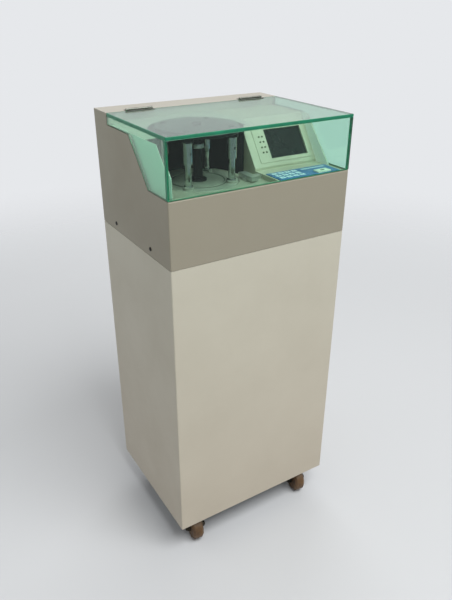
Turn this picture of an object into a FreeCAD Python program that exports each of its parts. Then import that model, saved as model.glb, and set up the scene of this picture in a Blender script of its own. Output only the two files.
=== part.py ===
import FreeCAD
import Part
import Sketcher
import math
import os
import re
from fcgear import fcgear, involute

# Floor-standing vacuum note counter, as an assembly of separate pieces, in millimetres.
# The origin is on the floor under the middle of the cabinet, +Z is up, the front faces -Y
# and +X is the right-hand side seen from the front.

DIMENSIONS = [
    # Cabinet
    ("cab_d", 346, "cabinet depth"),
    ("lower_h", 702, "height of the lower cabinet"),
    ("front_h", 140, "height of the upper housing's front"),
    ("top_h", 118, "ledge to cabinet top"),
    ("sheet", 1.5, "sheet steel of the cabinet"),
    ("top_flange", 12, "inward flange round the lower cabinet's top"),
    ("back_inset", 4, "rear panels lie this far inside the side walls' rear edges"),
    ("strip_d", 70, "fixed top strip behind the cover"),
    ("notch_h", 25, "top to the level part of the side notch"),
    ("slant_front", 86, "front to the foot of the slanted side edge"),
    ("slant_deg", 49, "slope of the slanted side edge"),
    ("flange_w", 10, "inward flange along the side edges"),
    ("ledge_d", 14, "front ledge depth"),
    ("pan_t", 2, "base pan sheet"),
    ("pan_rim", 25, "base pan rim height"),
    ("mid_t", 2, "middle frame sheet"),
    ("mid_rim", 32, "middle frame rim height"),
    ("cut_extra", 1, "how far a cutting solid runs past a face"),
    ("bend_r", 2.5, "bend radius of the cabinet's front edges"),
    ("seam_gap", 1, "shadow gap between lower cabinet and upper housing"),
    ("mould_r", 1.5, "rounding of the console's edges"),
    ("edge_c", 0.8, "chamfer on turned pieces"),
    # Bays across the width, from the left wall to the right wall
    ("cheek_x", 11.5, "left wall to the left cheek"),
    ("cheek_t", 1.5, "left cheek thickness"),
    ("rotor_side", 39, "left cheek to the head disc"),
    ("clamp_room", 36, "head disc to the console"),
    ("console_w", 169, "console width"),
    ("console_gap", 1, "console to the side flange"),
    # Deck and bay
    ("deck_drop", 10, "ledge to deck"),
    ("deck_t", 3, "deck plate thickness"),
    ("pillar_r", 6, "deck pillar radius"),
    ("pillar_x", 30, "pillar axis from the side wall"),
    ("pillar_y", 38, "pillar axis from the front wall and from the strip"),
    ("cheek_foot", 18, "front to the foot of the left cheek"),
    ("cheek_front", 8, "front to the left cheek above the ledge"),
    ("cheek_top", 55.6, "front to the top of the left cheek's slant"),
    ("roof_front", 108.4, "front to the bay's roof"),
    ("right_cheek", 54, "front to the foot of the right cheek's slant"),
    ("bay_gap", 18, "cover's underside to the top of bay and console"),
    ("hood_clear", 12, "head disc to the black hood"),
    ("hood_t", 3, "hood wall"),
    ("hood_set", 8, "head axis to the hood's flange"),
    ("hood_gap", 2, "hood's flange to the console"),
    ("seat_fit", 0.3, "gap round a piece set into another"),
    # Console and keypad
    ("console_t", 2.5, "console wall"),
    ("console_front", 98, "front to the console's skirt"),
    ("skirt_h", 5, "upright skirt under the console's face"),
    ("face_deg", 55, "slope of the console's face"),
    ("disp_w", 99, "display opening width"),
    ("disp_h", 67, "display opening height up the slope"),
    ("disp_foot", 17, "skirt to the display up the slope"),
    ("disp_right", 20, "display to the console's right side"),
    ("disp_lap", 4, "window laps behind the opening"),
    ("disp_t", 2, "window thickness"),
    ("bezel_t", 1.2, "raised bezel round display and lamps"),
    ("bezel_left", 31, "bezel past the display on the left"),
    ("bezel_right", 10, "bezel past the display on the right"),
    ("bezel_low", 8, "bezel past the display below"),
    ("bezel_high", 8, "bezel past the display above"),
    ("lamp_r", 2, "indicator lamp radius"),
    ("lamp_rows", 4, "rows of lamps"),
    ("lamp_pitch", 12, "row pitch of the lamps up the slope"),
    ("lamp_step", 8.5, "distance between the two lamp columns"),
    ("lamp_gap", 8.5, "lamps to the display"),
    ("lamp_proud", 1, "lamps stand out of the bezel"),
    ("lamp_bar", 2, "thickness of the bar behind the lamps"),
    ("pad_left", 4, "keypad to the console's left side"),
    ("pad_right", 8, "keypad to the console's right side"),
    ("pad_front", -4, "keypad to the ledge's inner edge"),
    ("pad_d", 54, "keypad depth"),
    ("pad_t", 1.5, "keypad thickness"),
    ("key_w", 13, "key width"),
    ("key_d", 10.5, "key depth"),
    ("key_up", 0.7, "keys stand out of the keypad"),
    ("key_dx", 17, "key pitch across"),
    ("key_dy", 15, "key pitch front to back"),
    ("key_x", 7, "keypad's left edge to the keys"),
    ("key_y", 7, "keypad's front edge to the keys"),
    ("key_columns", 4, "key columns"),
    ("key_rows", 3, "key rows"),
    ("start_w", 34, "start key width"),
    ("start_d", 19, "start key depth"),
    ("start_h", 3, "start key cap height"),
    ("start_x", 23, "keypad's right edge to the start key"),
    ("start_y", 2, "keypad's front edge to the start key"),
    ("start_stem", 8, "start key stem width"),
    ("start_set", 1.5, "start key's rear edge to the stem"),
    ("start_reach", 9, "start key stem length"),
    ("start_travel", 1, "start key travel"),
    # Cover and its hinges
    ("cover_t", 6, "acrylic thickness"),
    ("cover_gap", 1.5, "cover to the top strip"),
    ("cover_seat", 1, "cover to the edges it closes on"),
    ("hinge_len", 62, "hinge length"),
    ("hinge_in", 76, "hinge middle from the cabinet side"),
    ("leaf_w", 12, "hinge axis to the leaf's edge"),
    ("leaf_t", 1, "hinge leaf thickness"),
    ("knuckle_r", 2.3, "hinge knuckle radius"),
    ("hinge_pin_r", 1.2, "hinge pin radius"),
    ("hinge_clear", 0.4, "gap between hinge knuckles"),
    ("run_fit", 0.06, "radial clearance of a running shaft"),
    # Suction head
    ("gear_module", 2, "module of sun gear and pinions"),
    ("sun_teeth", 54, "teeth of the fixed sun gear"),
    ("pinion_teeth", 18, "teeth of a spindle pinion"),
    ("gear_shift", -0.05, "profile shift that leaves backlash"),
    ("gear_w", 10, "gear face width"),
    ("gear_drop", 4, "deck's underside to the gears"),
    ("disc_rim", 13, "spindle axis to the disc's edge"),
    ("rotor_front", 48, "front to the disc's edge"),
    ("disc_t", 5, "head disc thickness"),
    ("disc_proud", 1, "disc stands above the deck"),
    ("disc_gap", 1.5, "disc to the deck's hole"),
    ("ring_r", 60, "raised ring on the disc"),
    ("ring_w", 3, "width of the raised ring"),
    ("ring_h", 1.5, "height of the raised ring"),
    ("boss_r", 11.5, "spindle boss radius on the disc"),
    ("boss_h", 4, "spindle boss height"),
    ("hub_r", 10, "hub column radius"),
    ("hub_foot_r", 18, "hub foot radius"),
    ("hub_foot_h", 4, "hub foot height"),
    ("hub_band_r", 13, "band round the hub, radius"),
    ("hub_band_h", 9, "band height"),
    ("hub_band_up", 68, "disc to the band"),
    ("cap_gap", 13, "cover's underside to the head cap"),
    ("cap_t", 6, "head cap thickness"),
    ("cap_rim", 14.5, "spindle axis to the cap's edge"),
    ("collar_r", 13, "spindle collar radius under the cap"),
    ("collar_h", 8, "spindle collar height"),
    ("stem_r", 7, "spindle stem radius"),
    ("foot_r", 9.5, "spindle foot radius"),
    ("foot_h", 3, "spindle foot height"),
    ("stem_h", 46, "spindle boss to the suction barrel"),
    ("barrel_r", 10, "suction barrel radius"),
    ("stub_r", 5, "spindle stub radius in the collar"),
    ("end_gap", 0.5, "end float of a turning piece"),
    ("suction_r", 2.6, "suction hole radius"),
    ("vacuum_r", 6, "air passage radius in the head shaft"),
    ("shaft_r", 12.5, "head shaft radius"),
    ("shaft_flange_r", 18, "head shaft flange radius"),
    ("shaft_flange_t", 2, "head shaft flange thickness"),
    ("pan_clear", 14, "disc edge to the gear pan wall"),
    ("pan_wall", 3, "gear pan wall"),
    ("pan_lip", 13, "gear pan flange width"),
    ("pan_lip_t", 4, "gear pan flange thickness"),
    ("pan_floor_gap", 8, "gears to the gear pan floor"),
    ("spigot_r", 20, "sun gear spigot radius"),
    ("shoulder_w", 4, "shoulder under the sun gear"),
    ("shaft_room", 1, "shaft to the spigot bore"),
    ("bearing_r", 21, "bearing outer radius"),
    ("bearing_w", 10, "bearing width"),
    ("hub_wall", 5, "bearing hub wall"),
    ("hub_len", 44, "bearing hub length"),
    ("pulley_gap", 5, "bearing hub to the head pulley"),
    ("pulley_w", 14, "pulley width"),
    ("head_pulley_r", 32, "head pulley radius"),
    ("motor_pulley_r", 16, "motor pulley radius"),
    ("motor_reach", 115, "head axis to motor axis"),
    ("belt_t", 2, "belt thickness"),
    ("belt_w", 10, "belt width"),
    ("belt_fit", 0.3, "belt to pulleys"),
    ("union_gap", 3, "head pulley to the rotary union"),
    ("union_r", 24, "rotary union radius"),
    ("union_bore", 20, "depth of the rotary union's bore"),
    ("shaft_in", 8, "shaft end inside the rotary union"),
    ("port_r", 10, "pipe port radius"),
    ("port_len", 14, "pipe port length"),
    ("port_bore_r", 6, "pipe port bore radius"),
    ("motor_r", 34, "head motor radius"),
    ("motor_plate", 76, "head motor base plate"),
    ("motor_plate_t", 4, "head motor base thickness"),
    ("motor_gap", 5, "head motor to its pulley"),
    ("motor_shaft_r", 5, "head motor shaft radius"),
    ("motor_shaft_in", 14, "length of shaft inside the motor"),
    # Note clamp beside the head
    ("clamp_y", 80, "front to the clamp's middle"),
    ("rail_len", 40, "clamp rail length"),
    ("rail_w", 16, "clamp rail width"),
    ("rail_h", 8, "clamp rail height"),
    ("jaw_open", 21, "open jaw to the console"),
    ("jaw_t", 17, "jaw thickness"),
    ("jaw_len", 50, "jaw length"),
    ("jaw_lift", 3, "deck to the jaw's underside"),
    ("jaw_roof", 4, "jaw above the rail"),
    ("slide_fit", 0.2, "jaw to the rail"),
    # Vacuum pump, filter and pipe
    ("foot_pad_r", 12, "pump foot radius"),
    ("foot_pad_h", 18, "pump foot height"),
    ("bed_t", 5, "pump bed plate"),
    ("bed_w", 120, "pump bed depth"),
    ("bed_margin", 6, "pump bed past the feet"),
    ("pump_motor_r", 58, "pump motor radius"),
    ("pump_motor_len", 140, "pump motor length"),
    ("saddle_w", 80, "saddle depth"),
    ("saddle_h", 22, "bed to the motor's underside at its lowest"),
    ("pump_r", 50, "pump radius"),
    ("pump_len", 80, "pump length"),
    ("inlet_r", 11, "pump inlet radius"),
    ("inlet_h", 20, "pump inlet height"),
    ("filter_r", 36, "inlet filter radius"),
    ("filter_h", 110, "inlet filter height"),
    ("pipe_r", 12, "pipe radius"),
    ("pipe_bore_r", 8, "pipe bore radius"),
    ("pipe_run", 20, "straight run of pipe at the rotary union"),
    ("pipe_bend", 50, "pipe bend radius"),
    ("pipe_room", 26, "room round the pipe in the middle frame"),
    # Electrics
    ("supply_w", 105, "power supply width"),
    ("supply_d", 180, "power supply depth"),
    ("supply_h", 70, "power supply height"),
    ("supply_side", 16, "power supply to the right wall"),
    ("supply_front", 50, "power supply to the front wall"),
    ("board_w", 120, "control board width"),
    ("board_d", 90, "control board depth"),
    ("board_t", 1.6, "control board thickness"),
    ("board_gap", 12, "deck's underside to the control board"),
    ("board_side", 40, "control board to the right wall"),
    ("board_front", 64, "control board to the front wall"),
    ("post_r", 3, "control board post radius"),
    ("post_in", 6, "control board post from the board's edges"),
    ("chip_h", 9, "height of the parts on the board"),
    ("chip_w", 30, "width of the parts on the board"),
    ("socket_side", 60, "power inlet's middle from the right wall"),
    ("socket_up", 30, "cabinet bottom to the power inlet"),
    ("socket_w", 52, "power inlet flange width"),
    ("socket_h", 60, "power inlet flange height"),
    ("socket_flange", 2, "power inlet flange thickness"),
    ("socket_lap", 4, "power inlet flange past its body"),
    ("socket_depth", 30, "power inlet body depth"),
    ("well_w", 26, "plug well width"),
    ("well_h", 18, "plug well height"),
    ("well_d", 16, "plug well depth"),
    ("well_z", 17, "flange bottom to the plug well's middle"),
    ("blade_w", 2, "contact blade thickness"),
    ("blade_h", 5, "contact blade height"),
    ("blade_len", 7, "contact blade length"),
    ("blade_pitch", 7, "contact blade pitch"),
    ("rocker_w", 19, "rocker width"),
    ("rocker_h", 23, "rocker height"),
    ("rocker_t", 9, "rocker thickness"),
    ("rocker_z", 43, "flange bottom to the rocker's pivot"),
    ("rocker_in", 5.5, "flange face to the rocker's pivot"),
    ("rocker_deg", 8, "rocker tilt at rest"),
    ("rocker_room", 2.2, "room round the rocker"),
    ("rocker_pin_r", 1.5, "rocker pin radius"),
    ("rocker_pin_out", 3, "rocker pin past the rocker"),
    # Rear door
    ("door_side", 26, "cabinet side to the door opening"),
    ("door_sill", 95, "cabinet bottom to the door opening"),
    ("door_head", 40, "door opening to the seam"),
    ("door_gap", 2, "door to its opening"),
    ("door_flange", 14, "door edge depth"),
    ("rolled_r", 5, "rolled hinge edge radius"),
    ("door_pin_r", 2.5, "door pin radius"),
    ("door_pin_in", 12, "length of door pin in the rolled edge"),
    ("ear_w", 14, "door pin ear width"),
    ("ear_d", 12, "door pin ear depth"),
    ("ear_t", 4, "door pin ear thickness"),
    ("louvre_w", 120, "louvre slot width"),
    ("louvre_h", 6, "louvre slot height"),
    ("louvre_pitch", 16, "louvre slot pitch"),
    ("louvre_rows", 7, "louvre slots"),
    ("louvre_top", 60, "door opening's top to the first slot"),
    ("lock_r", 9, "lock barrel radius"),
    ("lock_rim_r", 11, "lock rim radius"),
    ("lock_rim_t", 2, "lock rim thickness"),
    ("lock_in", 24, "lock axis from the door's free edge"),
    ("lock_cam", 32, "lock cam length"),
    ("lock_cam_w", 12, "lock cam width"),
    ("lock_cam_t", 3, "lock cam thickness"),
    ("lock_slot_w", 2, "key slot width"),
    ("lock_slot_h", 11, "key slot height"),
    # Housing screws
    ("screw_r", 2, "screw shank radius"),
    ("screw_head_r", 4.5, "screw head radius"),
    ("screw_head_t", 1.5, "screw head thickness"),
    ("screw_z", 17, "seam to the screws"),
    ("screw_front", 90, "front to the front screws"),
    ("screw_back", 78, "back to the rear screws"),
    # Castors
    ("wheel_d", 63, "castor wheel diameter"),
    ("wheel_w", 28, "castor wheel width"),
    ("wheel_round", 5, "rounding of the tread"),
    ("castor_head", 15, "wheel top to the cabinet's bottom"),
    ("castor_x", 56, "swivel axis from the cabinet's side"),
    ("castor_y", 54.5, "swivel axis from the cabinet's front or back"),
    ("castor_deg", 8, "turn of the castors at rest"),
    ("trail", 22, "swivel axis to wheel axis"),
    ("axle_r", 5, "castor axle radius"),
    ("nut_r", 8, "castor axle nut radius"),
    ("nut_t", 4, "castor axle nut thickness"),
    ("leg_t", 3, "fork leg thickness"),
    ("leg_gap", 1.5, "wheel to the fork legs"),
    ("crown_t", 3, "fork crown thickness"),
    ("crown_up", 3, "wheel top to the fork crown"),
    ("crown_back", 18, "fork crown behind the swivel axis"),
    ("race_r", 19, "swivel race radius"),
    ("swivel_gap", 0.4, "swivel race to the plate"),
    ("plate_w", 60, "castor plate width"),
    ("plate_t", 4, "castor plate thickness"),
    ("kingpin_r", 6, "kingpin radius"),
    ("kingpin_head_r", 9, "kingpin head radius"),
    ("kingpin_head_t", 2, "kingpin head thickness"),
]

doc = FreeCAD.newDocument("note_counter")
dims = doc.addObject("Spreadsheet::Sheet", "dims")
for row, (alias, value, note) in enumerate(DIMENSIONS, start=1):
    dims.set(f"A{row}", note)
    dims.set(f"B{row}", str(value))
    dims.setAlias(f"B{row}", alias)
doc.recompute()
ALIASES = {alias for alias, value, note in DIMENSIONS}


def formula(text):
    """An expression in which each dimension is read from the sheet."""
    words = re.compile(r"[a-z][a-z0-9_]*")
    return words.sub(lambda w: "dims." + w.group() if w.group() in ALIASES else w.group(), text)


def number(text):
    """The present value of an expression."""
    return float(dims.evalExpression(formula(text)))


def bind(item, **sizes):
    for prop, text in sizes.items():
        item.setExpression(prop.replace("__", "."), formula(text))


def place(item, x, y, z, axis=None, angle="0"):
    """Ties an object's place, and its turn about an axis, to the sheet."""
    if axis:
        item.Placement = FreeCAD.Placement(FreeCAD.Vector(), FreeCAD.Rotation(axis, number(angle)))
        bind(item, Placement__Rotation__Angle=angle)
    bind(item, Placement__Base__x=x, Placement__Base__y=y, Placement__Base__z=z)
    return item


X_AXIS = FreeCAD.Vector(1, 0, 0)
Y_AXIS = FreeCAD.Vector(0, 1, 0)
Z_AXIS = FreeCAD.Vector(0, 0, 1)

# Shared lines of the cabinet, as expressions of the sheet's values
ORBIT = "(gear_module*(sun_teeth + pinion_teeth)/2)"
DISC_R = f"({ORBIT} + disc_rim)"
CAB_W = (f"(cheek_x + cheek_t + rotor_side + 2*{DISC_R} + clamp_room"
         " + console_w + console_gap + flange_w)")
LEFT = f"(-{CAB_W}/2)"
RIGHT = f"({CAB_W}/2)"
FRONT = "(-cab_d/2)"
BACK = "(cab_d/2)"
BACK_WALL = "(cab_d/2 - back_inset)"
INSIDE_W = f"({CAB_W} - 2*sheet)"
INSIDE_D = "(cab_d - back_inset - 2*sheet)"
Y_STRIP = "(cab_d/2 - strip_d)"
Y_SLANT = f"({FRONT} + slant_front)"
Y_SLANT_TOP = f"({Y_SLANT} + (top_h - notch_h)/tan(slant_deg))"
Z_BASE = "(wheel_d + castor_head)"
Z_FLOOR = f"({Z_BASE} + pan_t)"
Z_SEAM = f"({Z_BASE} + lower_h)"
Z_MID = f"({Z_SEAM} + mid_t)"
Z_LEDGE = f"({Z_SEAM} + front_h)"
Z_TOP = f"({Z_LEDGE} + top_h)"
Z_NOTCH = f"({Z_TOP} - notch_h)"
Z_DECK = f"({Z_LEDGE} - deck_drop)"
Z_UNDER = f"({Z_DECK} - deck_t)"
Z_BAY = f"({Z_TOP} - cover_t - bay_gap)"
X_BAY = f"({LEFT} + cheek_x + cheek_t)"
X_CONSOLE = f"({RIGHT} - flange_w - console_gap - console_w)"
X_ROTOR = f"({X_BAY} + rotor_side + {DISC_R})"
Y_ROTOR = f"({FRONT} + rotor_front + {DISC_R})"


def box(x, y, z, dx, dy, dz, axis=None, angle="0"):
    """Block whose low corner lies at x, y, z."""
    solid = doc.addObject("Part::Box", "block")
    bind(solid, Length=dx, Width=dy, Height=dz)
    return place(solid, x, y, z, axis, angle)


def rod(x, y, z, radius, length, along="Z", tilt="0"):
    """Cylinder that starts at x, y, z and runs along an axis, or along Z tilted about X."""
    solid = doc.addObject("Part::Cylinder", "rod")
    bind(solid, Radius=radius, Height=length)
    if along == "X":
        return place(solid, x, y, z, Y_AXIS, "90")
    if along == "Y":
        return place(solid, x, y, z, X_AXIS, "-90")
    if tilt != "0":
        return place(solid, x, y, z, X_AXIS, tilt)
    return place(solid, x, y, z)


def fuse(*solids):
    joined = doc.addObject("Part::MultiFuse", "joined")
    joined.Shapes = list(solids)
    return joined


def cut(base, *tools):
    left = doc.addObject("Part::Cut", "left")
    left.Base = base
    left.Tool = tools[0] if len(tools) == 1 else fuse(*tools)
    return left


def group(*solids):
    """Separate solids that share one name."""
    together = doc.addObject("Part::Compound", "together")
    together.Links = list(solids)
    return together


def plane_of(body, role):
    return [item for item in body.Origin.OriginFeatures if item.Role == role][0]


def outline(body, points, role="YZ_Plane", offset="0"):
    """Closed outline of straight edges, each corner held by two expressions."""
    sketch = body.newObject("Sketcher::SketchObject", "outline")
    sketch.AttachmentSupport = [(plane_of(body, role), "")]
    sketch.MapMode = "FlatFace"
    bind(sketch, AttachmentOffset__Base__z=offset)
    corners = [FreeCAD.Vector(number(u), number(v), 0) for u, v in points]
    count = len(corners)
    for i in range(count):
        sketch.addGeometry(Part.LineSegment(corners[i], corners[(i + 1) % count]), False)
    for i in range(count):
        sketch.addConstraint(Sketcher.Constraint("Coincident", i, 2, (i + 1) % count, 1))
    for i, corner in enumerate(corners):
        for kind, text, value in (("X", points[i][0], corner.x), ("Y", points[i][1], corner.y)):
            held = sketch.addConstraint(Sketcher.Constraint("Distance" + kind, -1, 1, i, 1, value))
            name = f"corner_{i}_{kind}"
            sketch.renameConstraint(held, name)
            sketch.setExpression("Constraints." + name, formula(text))
    return sketch


def pad(body, sketch, length, midplane=False):
    feature = body.newObject("PartDesign::Pad", "pad")
    feature.Profile = sketch
    feature.Midplane = midplane
    bind(feature, Length=length)
    return feature


def pocket(body, sketch, length):
    """Cut of a given width, half to each side of the sketch."""
    feature = body.newObject("PartDesign::Pocket", "pocket")
    feature.Profile = sketch
    feature.Midplane = True
    bind(feature, Length=length)
    return feature


def rounded(body, feature, wanted, radius):
    """Rounds those edges of a feature for which the test holds."""
    doc.recompute()
    names = [f"Edge{i}" for i, edge in enumerate(feature.Shape.Edges, start=1) if wanted(edge)]
    soft = body.newObject("PartDesign::Fillet", "rounding")
    soft.Base = (feature, names)
    bind(soft, Radius=radius)
    return soft


def runs_along(edge, axis):
    """Whether a straight edge runs along an axis."""
    start, end = [vertex.Point for vertex in edge.Vertexes]
    return (end - start).cross(axis).Length < 0.001 * edge.Length


def middle_of(edge):
    return (edge.Vertexes[0].Point + edge.Vertexes[-1].Point) * 0.5


def near(first, text):
    """Whether a coordinate has the value of an expression."""
    return abs(first - number(text)) < 0.001


def plate(points, x, thickness):
    """Flat plate cut to an outline of Y and Z, from x to x + thickness."""
    body = doc.addObject("PartDesign::Body", "plate")
    pad(body, outline(body, points, offset=x), thickness)
    return body


def turned(points, x, y):
    """Piece turned about an upright axis at x, y from an outline of radius and Z."""
    body = doc.addObject("PartDesign::Body", "turned")
    sketch = outline(body, points, role="XZ_Plane")
    feature = body.newObject("PartDesign::Revolution", "revolution")
    feature.Profile = sketch
    feature.ReferenceAxis = (sketch, ["V_Axis"])
    feature.Angle = 360
    return place(body, x, y, "0")


def gear(teeth):
    """Involute gear on the origin, with its first tooth along +X, from 0 to gear_w."""
    builder = fcgear.FCWireBuilder()
    involute.CreateExternalGear(builder, number("gear_module"), int(number(teeth)), 20,
                                split=True, shiftCoeff=number("gear_shift"))
    rim = Part.Wire([edge.toShape() for edge in builder.wire])
    solid = doc.addObject("Part::Feature", "gear")
    solid.Shape = Part.Face(rim).extrude(Z_AXIS * number("gear_w"))
    return solid


# Cabinet: base pan, lower cabinet, middle frame, upper housing and rear cover

X_DOOR = f"({LEFT} + door_side)"
Z_DOOR = f"({Z_BASE} + door_sill)"
DOOR_W = f"({CAB_W} - 2*door_side)"
DOOR_H = "(lower_h - door_sill - door_head)"
X_SOCKET = f"({RIGHT} - socket_side)"
Z_SOCKET = f"({Z_BASE} + socket_up)"
SCREW_PLACES = [f"({FRONT} + screw_front)", f"({BACK} - screw_back)"]
Z_SCREW = f"({Z_SEAM} + screw_z)"


def base_pan():
    outer = box(f"{LEFT} + sheet", f"{FRONT} + sheet", Z_BASE, INSIDE_W, INSIDE_D, "pan_rim")
    inner = box(f"{LEFT} + sheet + pan_t", f"{FRONT} + sheet + pan_t", Z_FLOOR,
                f"{INSIDE_W} - 2*pan_t", f"{INSIDE_D} - 2*pan_t", "pan_rim")
    return cut(outer, inner)


def lower_cabinet():
    outer = doc.addObject("PartDesign::Body", "lower_shell")
    block = pad(outer, outline(outer, [(LEFT, FRONT), (RIGHT, FRONT), (RIGHT, BACK), (LEFT, BACK)],
                               role="XY_Plane", offset=Z_BASE), "lower_h")
    rounded(outer, block, lambda edge: runs_along(edge, Z_AXIS) and near(middle_of(edge).y, FRONT), "bend_r")
    inside = box(f"{LEFT} + sheet", f"{FRONT} + sheet", f"{Z_BASE} - cut_extra",
                 INSIDE_W, INSIDE_D, "lower_h - sheet + cut_extra")
    top_hole = box(f"{LEFT} + sheet + top_flange", f"{FRONT} + sheet + top_flange",
                   f"{Z_SEAM} - sheet - cut_extra", f"{INSIDE_W} - 2*top_flange",
                   f"{INSIDE_D} - 2*top_flange", "sheet + 2*cut_extra")
    recess = box(f"{LEFT} + sheet", BACK_WALL, f"{Z_BASE} - cut_extra", INSIDE_W,
                 "back_inset + cut_extra", "lower_h + 2*cut_extra")
    door_hole = box(X_DOOR, f"{BACK_WALL} - sheet - cut_extra", Z_DOOR, DOOR_W,
                    "sheet + 2*cut_extra", DOOR_H)
    socket_hole = box(f"{X_SOCKET} - socket_w/2 + socket_lap - seat_fit",
                      f"{BACK_WALL} - sheet - cut_extra",
                      f"{Z_SOCKET} + socket_lap - seat_fit",
                      "socket_w - 2*socket_lap + 2*seat_fit", "sheet + 2*cut_extra",
                      "socket_h - 2*socket_lap + 2*seat_fit")
    return cut(outer, inside, top_hole, recess, door_hole, socket_hole)


# The pipe leaves the rotary union along +X and turns down through the middle frame.
X_PIPE = f"({X_ROTOR} + union_r + port_len)"
X_DROP = f"({X_PIPE} + pipe_run + pipe_bend)"


def middle_frame():
    outer = box(f"{LEFT} + sheet", f"{FRONT} + sheet", Z_SEAM, INSIDE_W, INSIDE_D, "mid_rim")
    inner = box(f"{LEFT} + sheet + mid_t", f"{FRONT} + sheet + mid_t", Z_MID,
                f"{INSIDE_W} - 2*mid_t", f"{INSIDE_D} - 2*mid_t", "mid_rim")
    pipe_hole = box(f"{X_PIPE} + pipe_run", f"{Y_ROTOR} - pipe_room",
                    f"{Z_SEAM} - cut_extra", "pipe_bend + pipe_r + pipe_room",
                    "2*pipe_room", "mid_t + 2*cut_extra")
    screws = [rod(f"{LEFT}", y, Z_SCREW, "screw_r + run_fit", CAB_W, "X") for y in SCREW_PLACES]
    return cut(outer, inner, pipe_hole, *screws)


def upper_housing():
    body = doc.addObject("PartDesign::Body", "upper_shell")
    low = f"{Z_SEAM} + seam_gap"
    profile = pad(body, outline(body, [
        (FRONT, low), (BACK, low), (BACK, f"{Z_TOP} - sheet"),
        (Y_STRIP, f"{Z_TOP} - sheet"), (Y_STRIP, Z_NOTCH), (Y_SLANT_TOP, Z_NOTCH),
        (Y_SLANT, Z_LEDGE), (FRONT, Z_LEDGE)]), CAB_W, midplane=True)
    rounded(body, profile, lambda edge: near(middle_of(edge).y, FRONT) and not near(middle_of(edge).z, low),
            "bend_r")
    inset = "sheet*tan(slant_deg/2)"
    pocket(body, outline(body, [
        (f"{FRONT} + sheet", f"{Z_SEAM} - cut_extra"), (f"{BACK} + cut_extra", f"{Z_SEAM} - cut_extra"),
        (f"{BACK} + cut_extra", f"{Z_TOP} + cut_extra"), (f"{Y_STRIP} + sheet", f"{Z_TOP} + cut_extra"),
        (f"{Y_STRIP} + sheet", f"{Z_NOTCH} - sheet"), (f"{Y_SLANT_TOP} + {inset}", f"{Z_NOTCH} - sheet"),
        (f"{Y_SLANT} + {inset}", f"{Z_LEDGE} - sheet"),
        (f"{FRONT} + sheet", f"{Z_LEDGE} - sheet")]), INSIDE_W)
    pocket(body, outline(body, [
        (f"{FRONT} + ledge_d", f"{Z_LEDGE} - sheet - cut_extra"),
        (f"{Y_STRIP} + sheet + cut_extra", f"{Z_LEDGE} - sheet - cut_extra"),
        (f"{Y_STRIP} + sheet + cut_extra", f"{Z_TOP} + cut_extra"),
        (f"{FRONT} + ledge_d", f"{Z_TOP} + cut_extra")]), f"{CAB_W} - 2*flange_w")
    screws = [rod(f"{LEFT} - cut_extra", y, Z_SCREW, "screw_r + run_fit", f"{CAB_W} + 2*cut_extra", "X")
              for y in SCREW_PLACES]
    return cut(body, *screws)


def rear_top_cover():
    top = box(LEFT, Y_STRIP, f"{Z_TOP} - sheet", CAB_W, "strip_d", "sheet")
    back = box(f"{LEFT} + sheet", f"{BACK_WALL} - sheet", Z_SEAM, INSIDE_W, "sheet",
               f"{Z_TOP} - sheet - {Z_SEAM}")
    inner = box(f"{LEFT} + sheet", f"{Y_STRIP} + sheet", Z_DECK, INSIDE_W, "sheet",
                f"{Z_TOP} - sheet - {Z_DECK}")
    return fuse(top, back, inner)


def housing_screws():
    shank = "sheet + mid_t"
    screws = []
    for y in SCREW_PLACES:
        screws.append(fuse(rod(f"{LEFT} - screw_head_t", y, Z_SCREW, "screw_head_r", "screw_head_t", "X"),
                           rod(LEFT, y, Z_SCREW, "screw_r", shank, "X")))
        screws.append(fuse(rod(RIGHT, y, Z_SCREW, "screw_head_r", "screw_head_t", "X"),
                           rod(f"{RIGHT} - ({shank})", y, Z_SCREW, "screw_r", shank, "X")))
    return group(*screws)


# Deck, its pillars, the cream bay surround and the black hood behind the head

Y_FOOT = f"({FRONT} + cheek_foot)"
Y_CHEEK = f"({FRONT} + cheek_front)"
Z_OVER_LEDGE = f"({Z_LEDGE} + seam_gap)"
Y_CHEEK_TOP = f"({FRONT} + cheek_top)"
Z_CHEEK = f"({Z_BAY} - (cheek_top - cheek_front)*tan(slant_deg))"
Y_ROOF = f"({FRONT} + roof_front)"
HOOD_R = f"({DISC_R} + hood_clear)"


def deck_plate():
    deck = box(f"{LEFT} + sheet", f"{FRONT} + sheet", Z_UNDER, INSIDE_W,
               f"{Y_STRIP} + sheet - {FRONT}", "deck_t")
    lip = box(f"{LEFT} + sheet", f"{FRONT} + ledge_d - sheet", Z_DECK, INSIDE_W, "sheet",
              "deck_drop - sheet")
    hole = rod(X_ROTOR, Y_ROTOR, f"{Z_UNDER} - cut_extra", f"{DISC_R} + disc_gap",
               "deck_t + 2*cut_extra")
    return cut(fuse(deck, lip), hole)


def deck_pillars():
    height = f"{Z_UNDER} - {Z_MID}"
    return group(*[rod(x, y, Z_MID, "pillar_r", height)
                   for x in (f"{LEFT} + sheet + pillar_x", f"{RIGHT} - sheet - pillar_x")
                   for y in (f"{FRONT} + sheet + pillar_y", f"{Y_STRIP} - pillar_y")])


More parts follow.
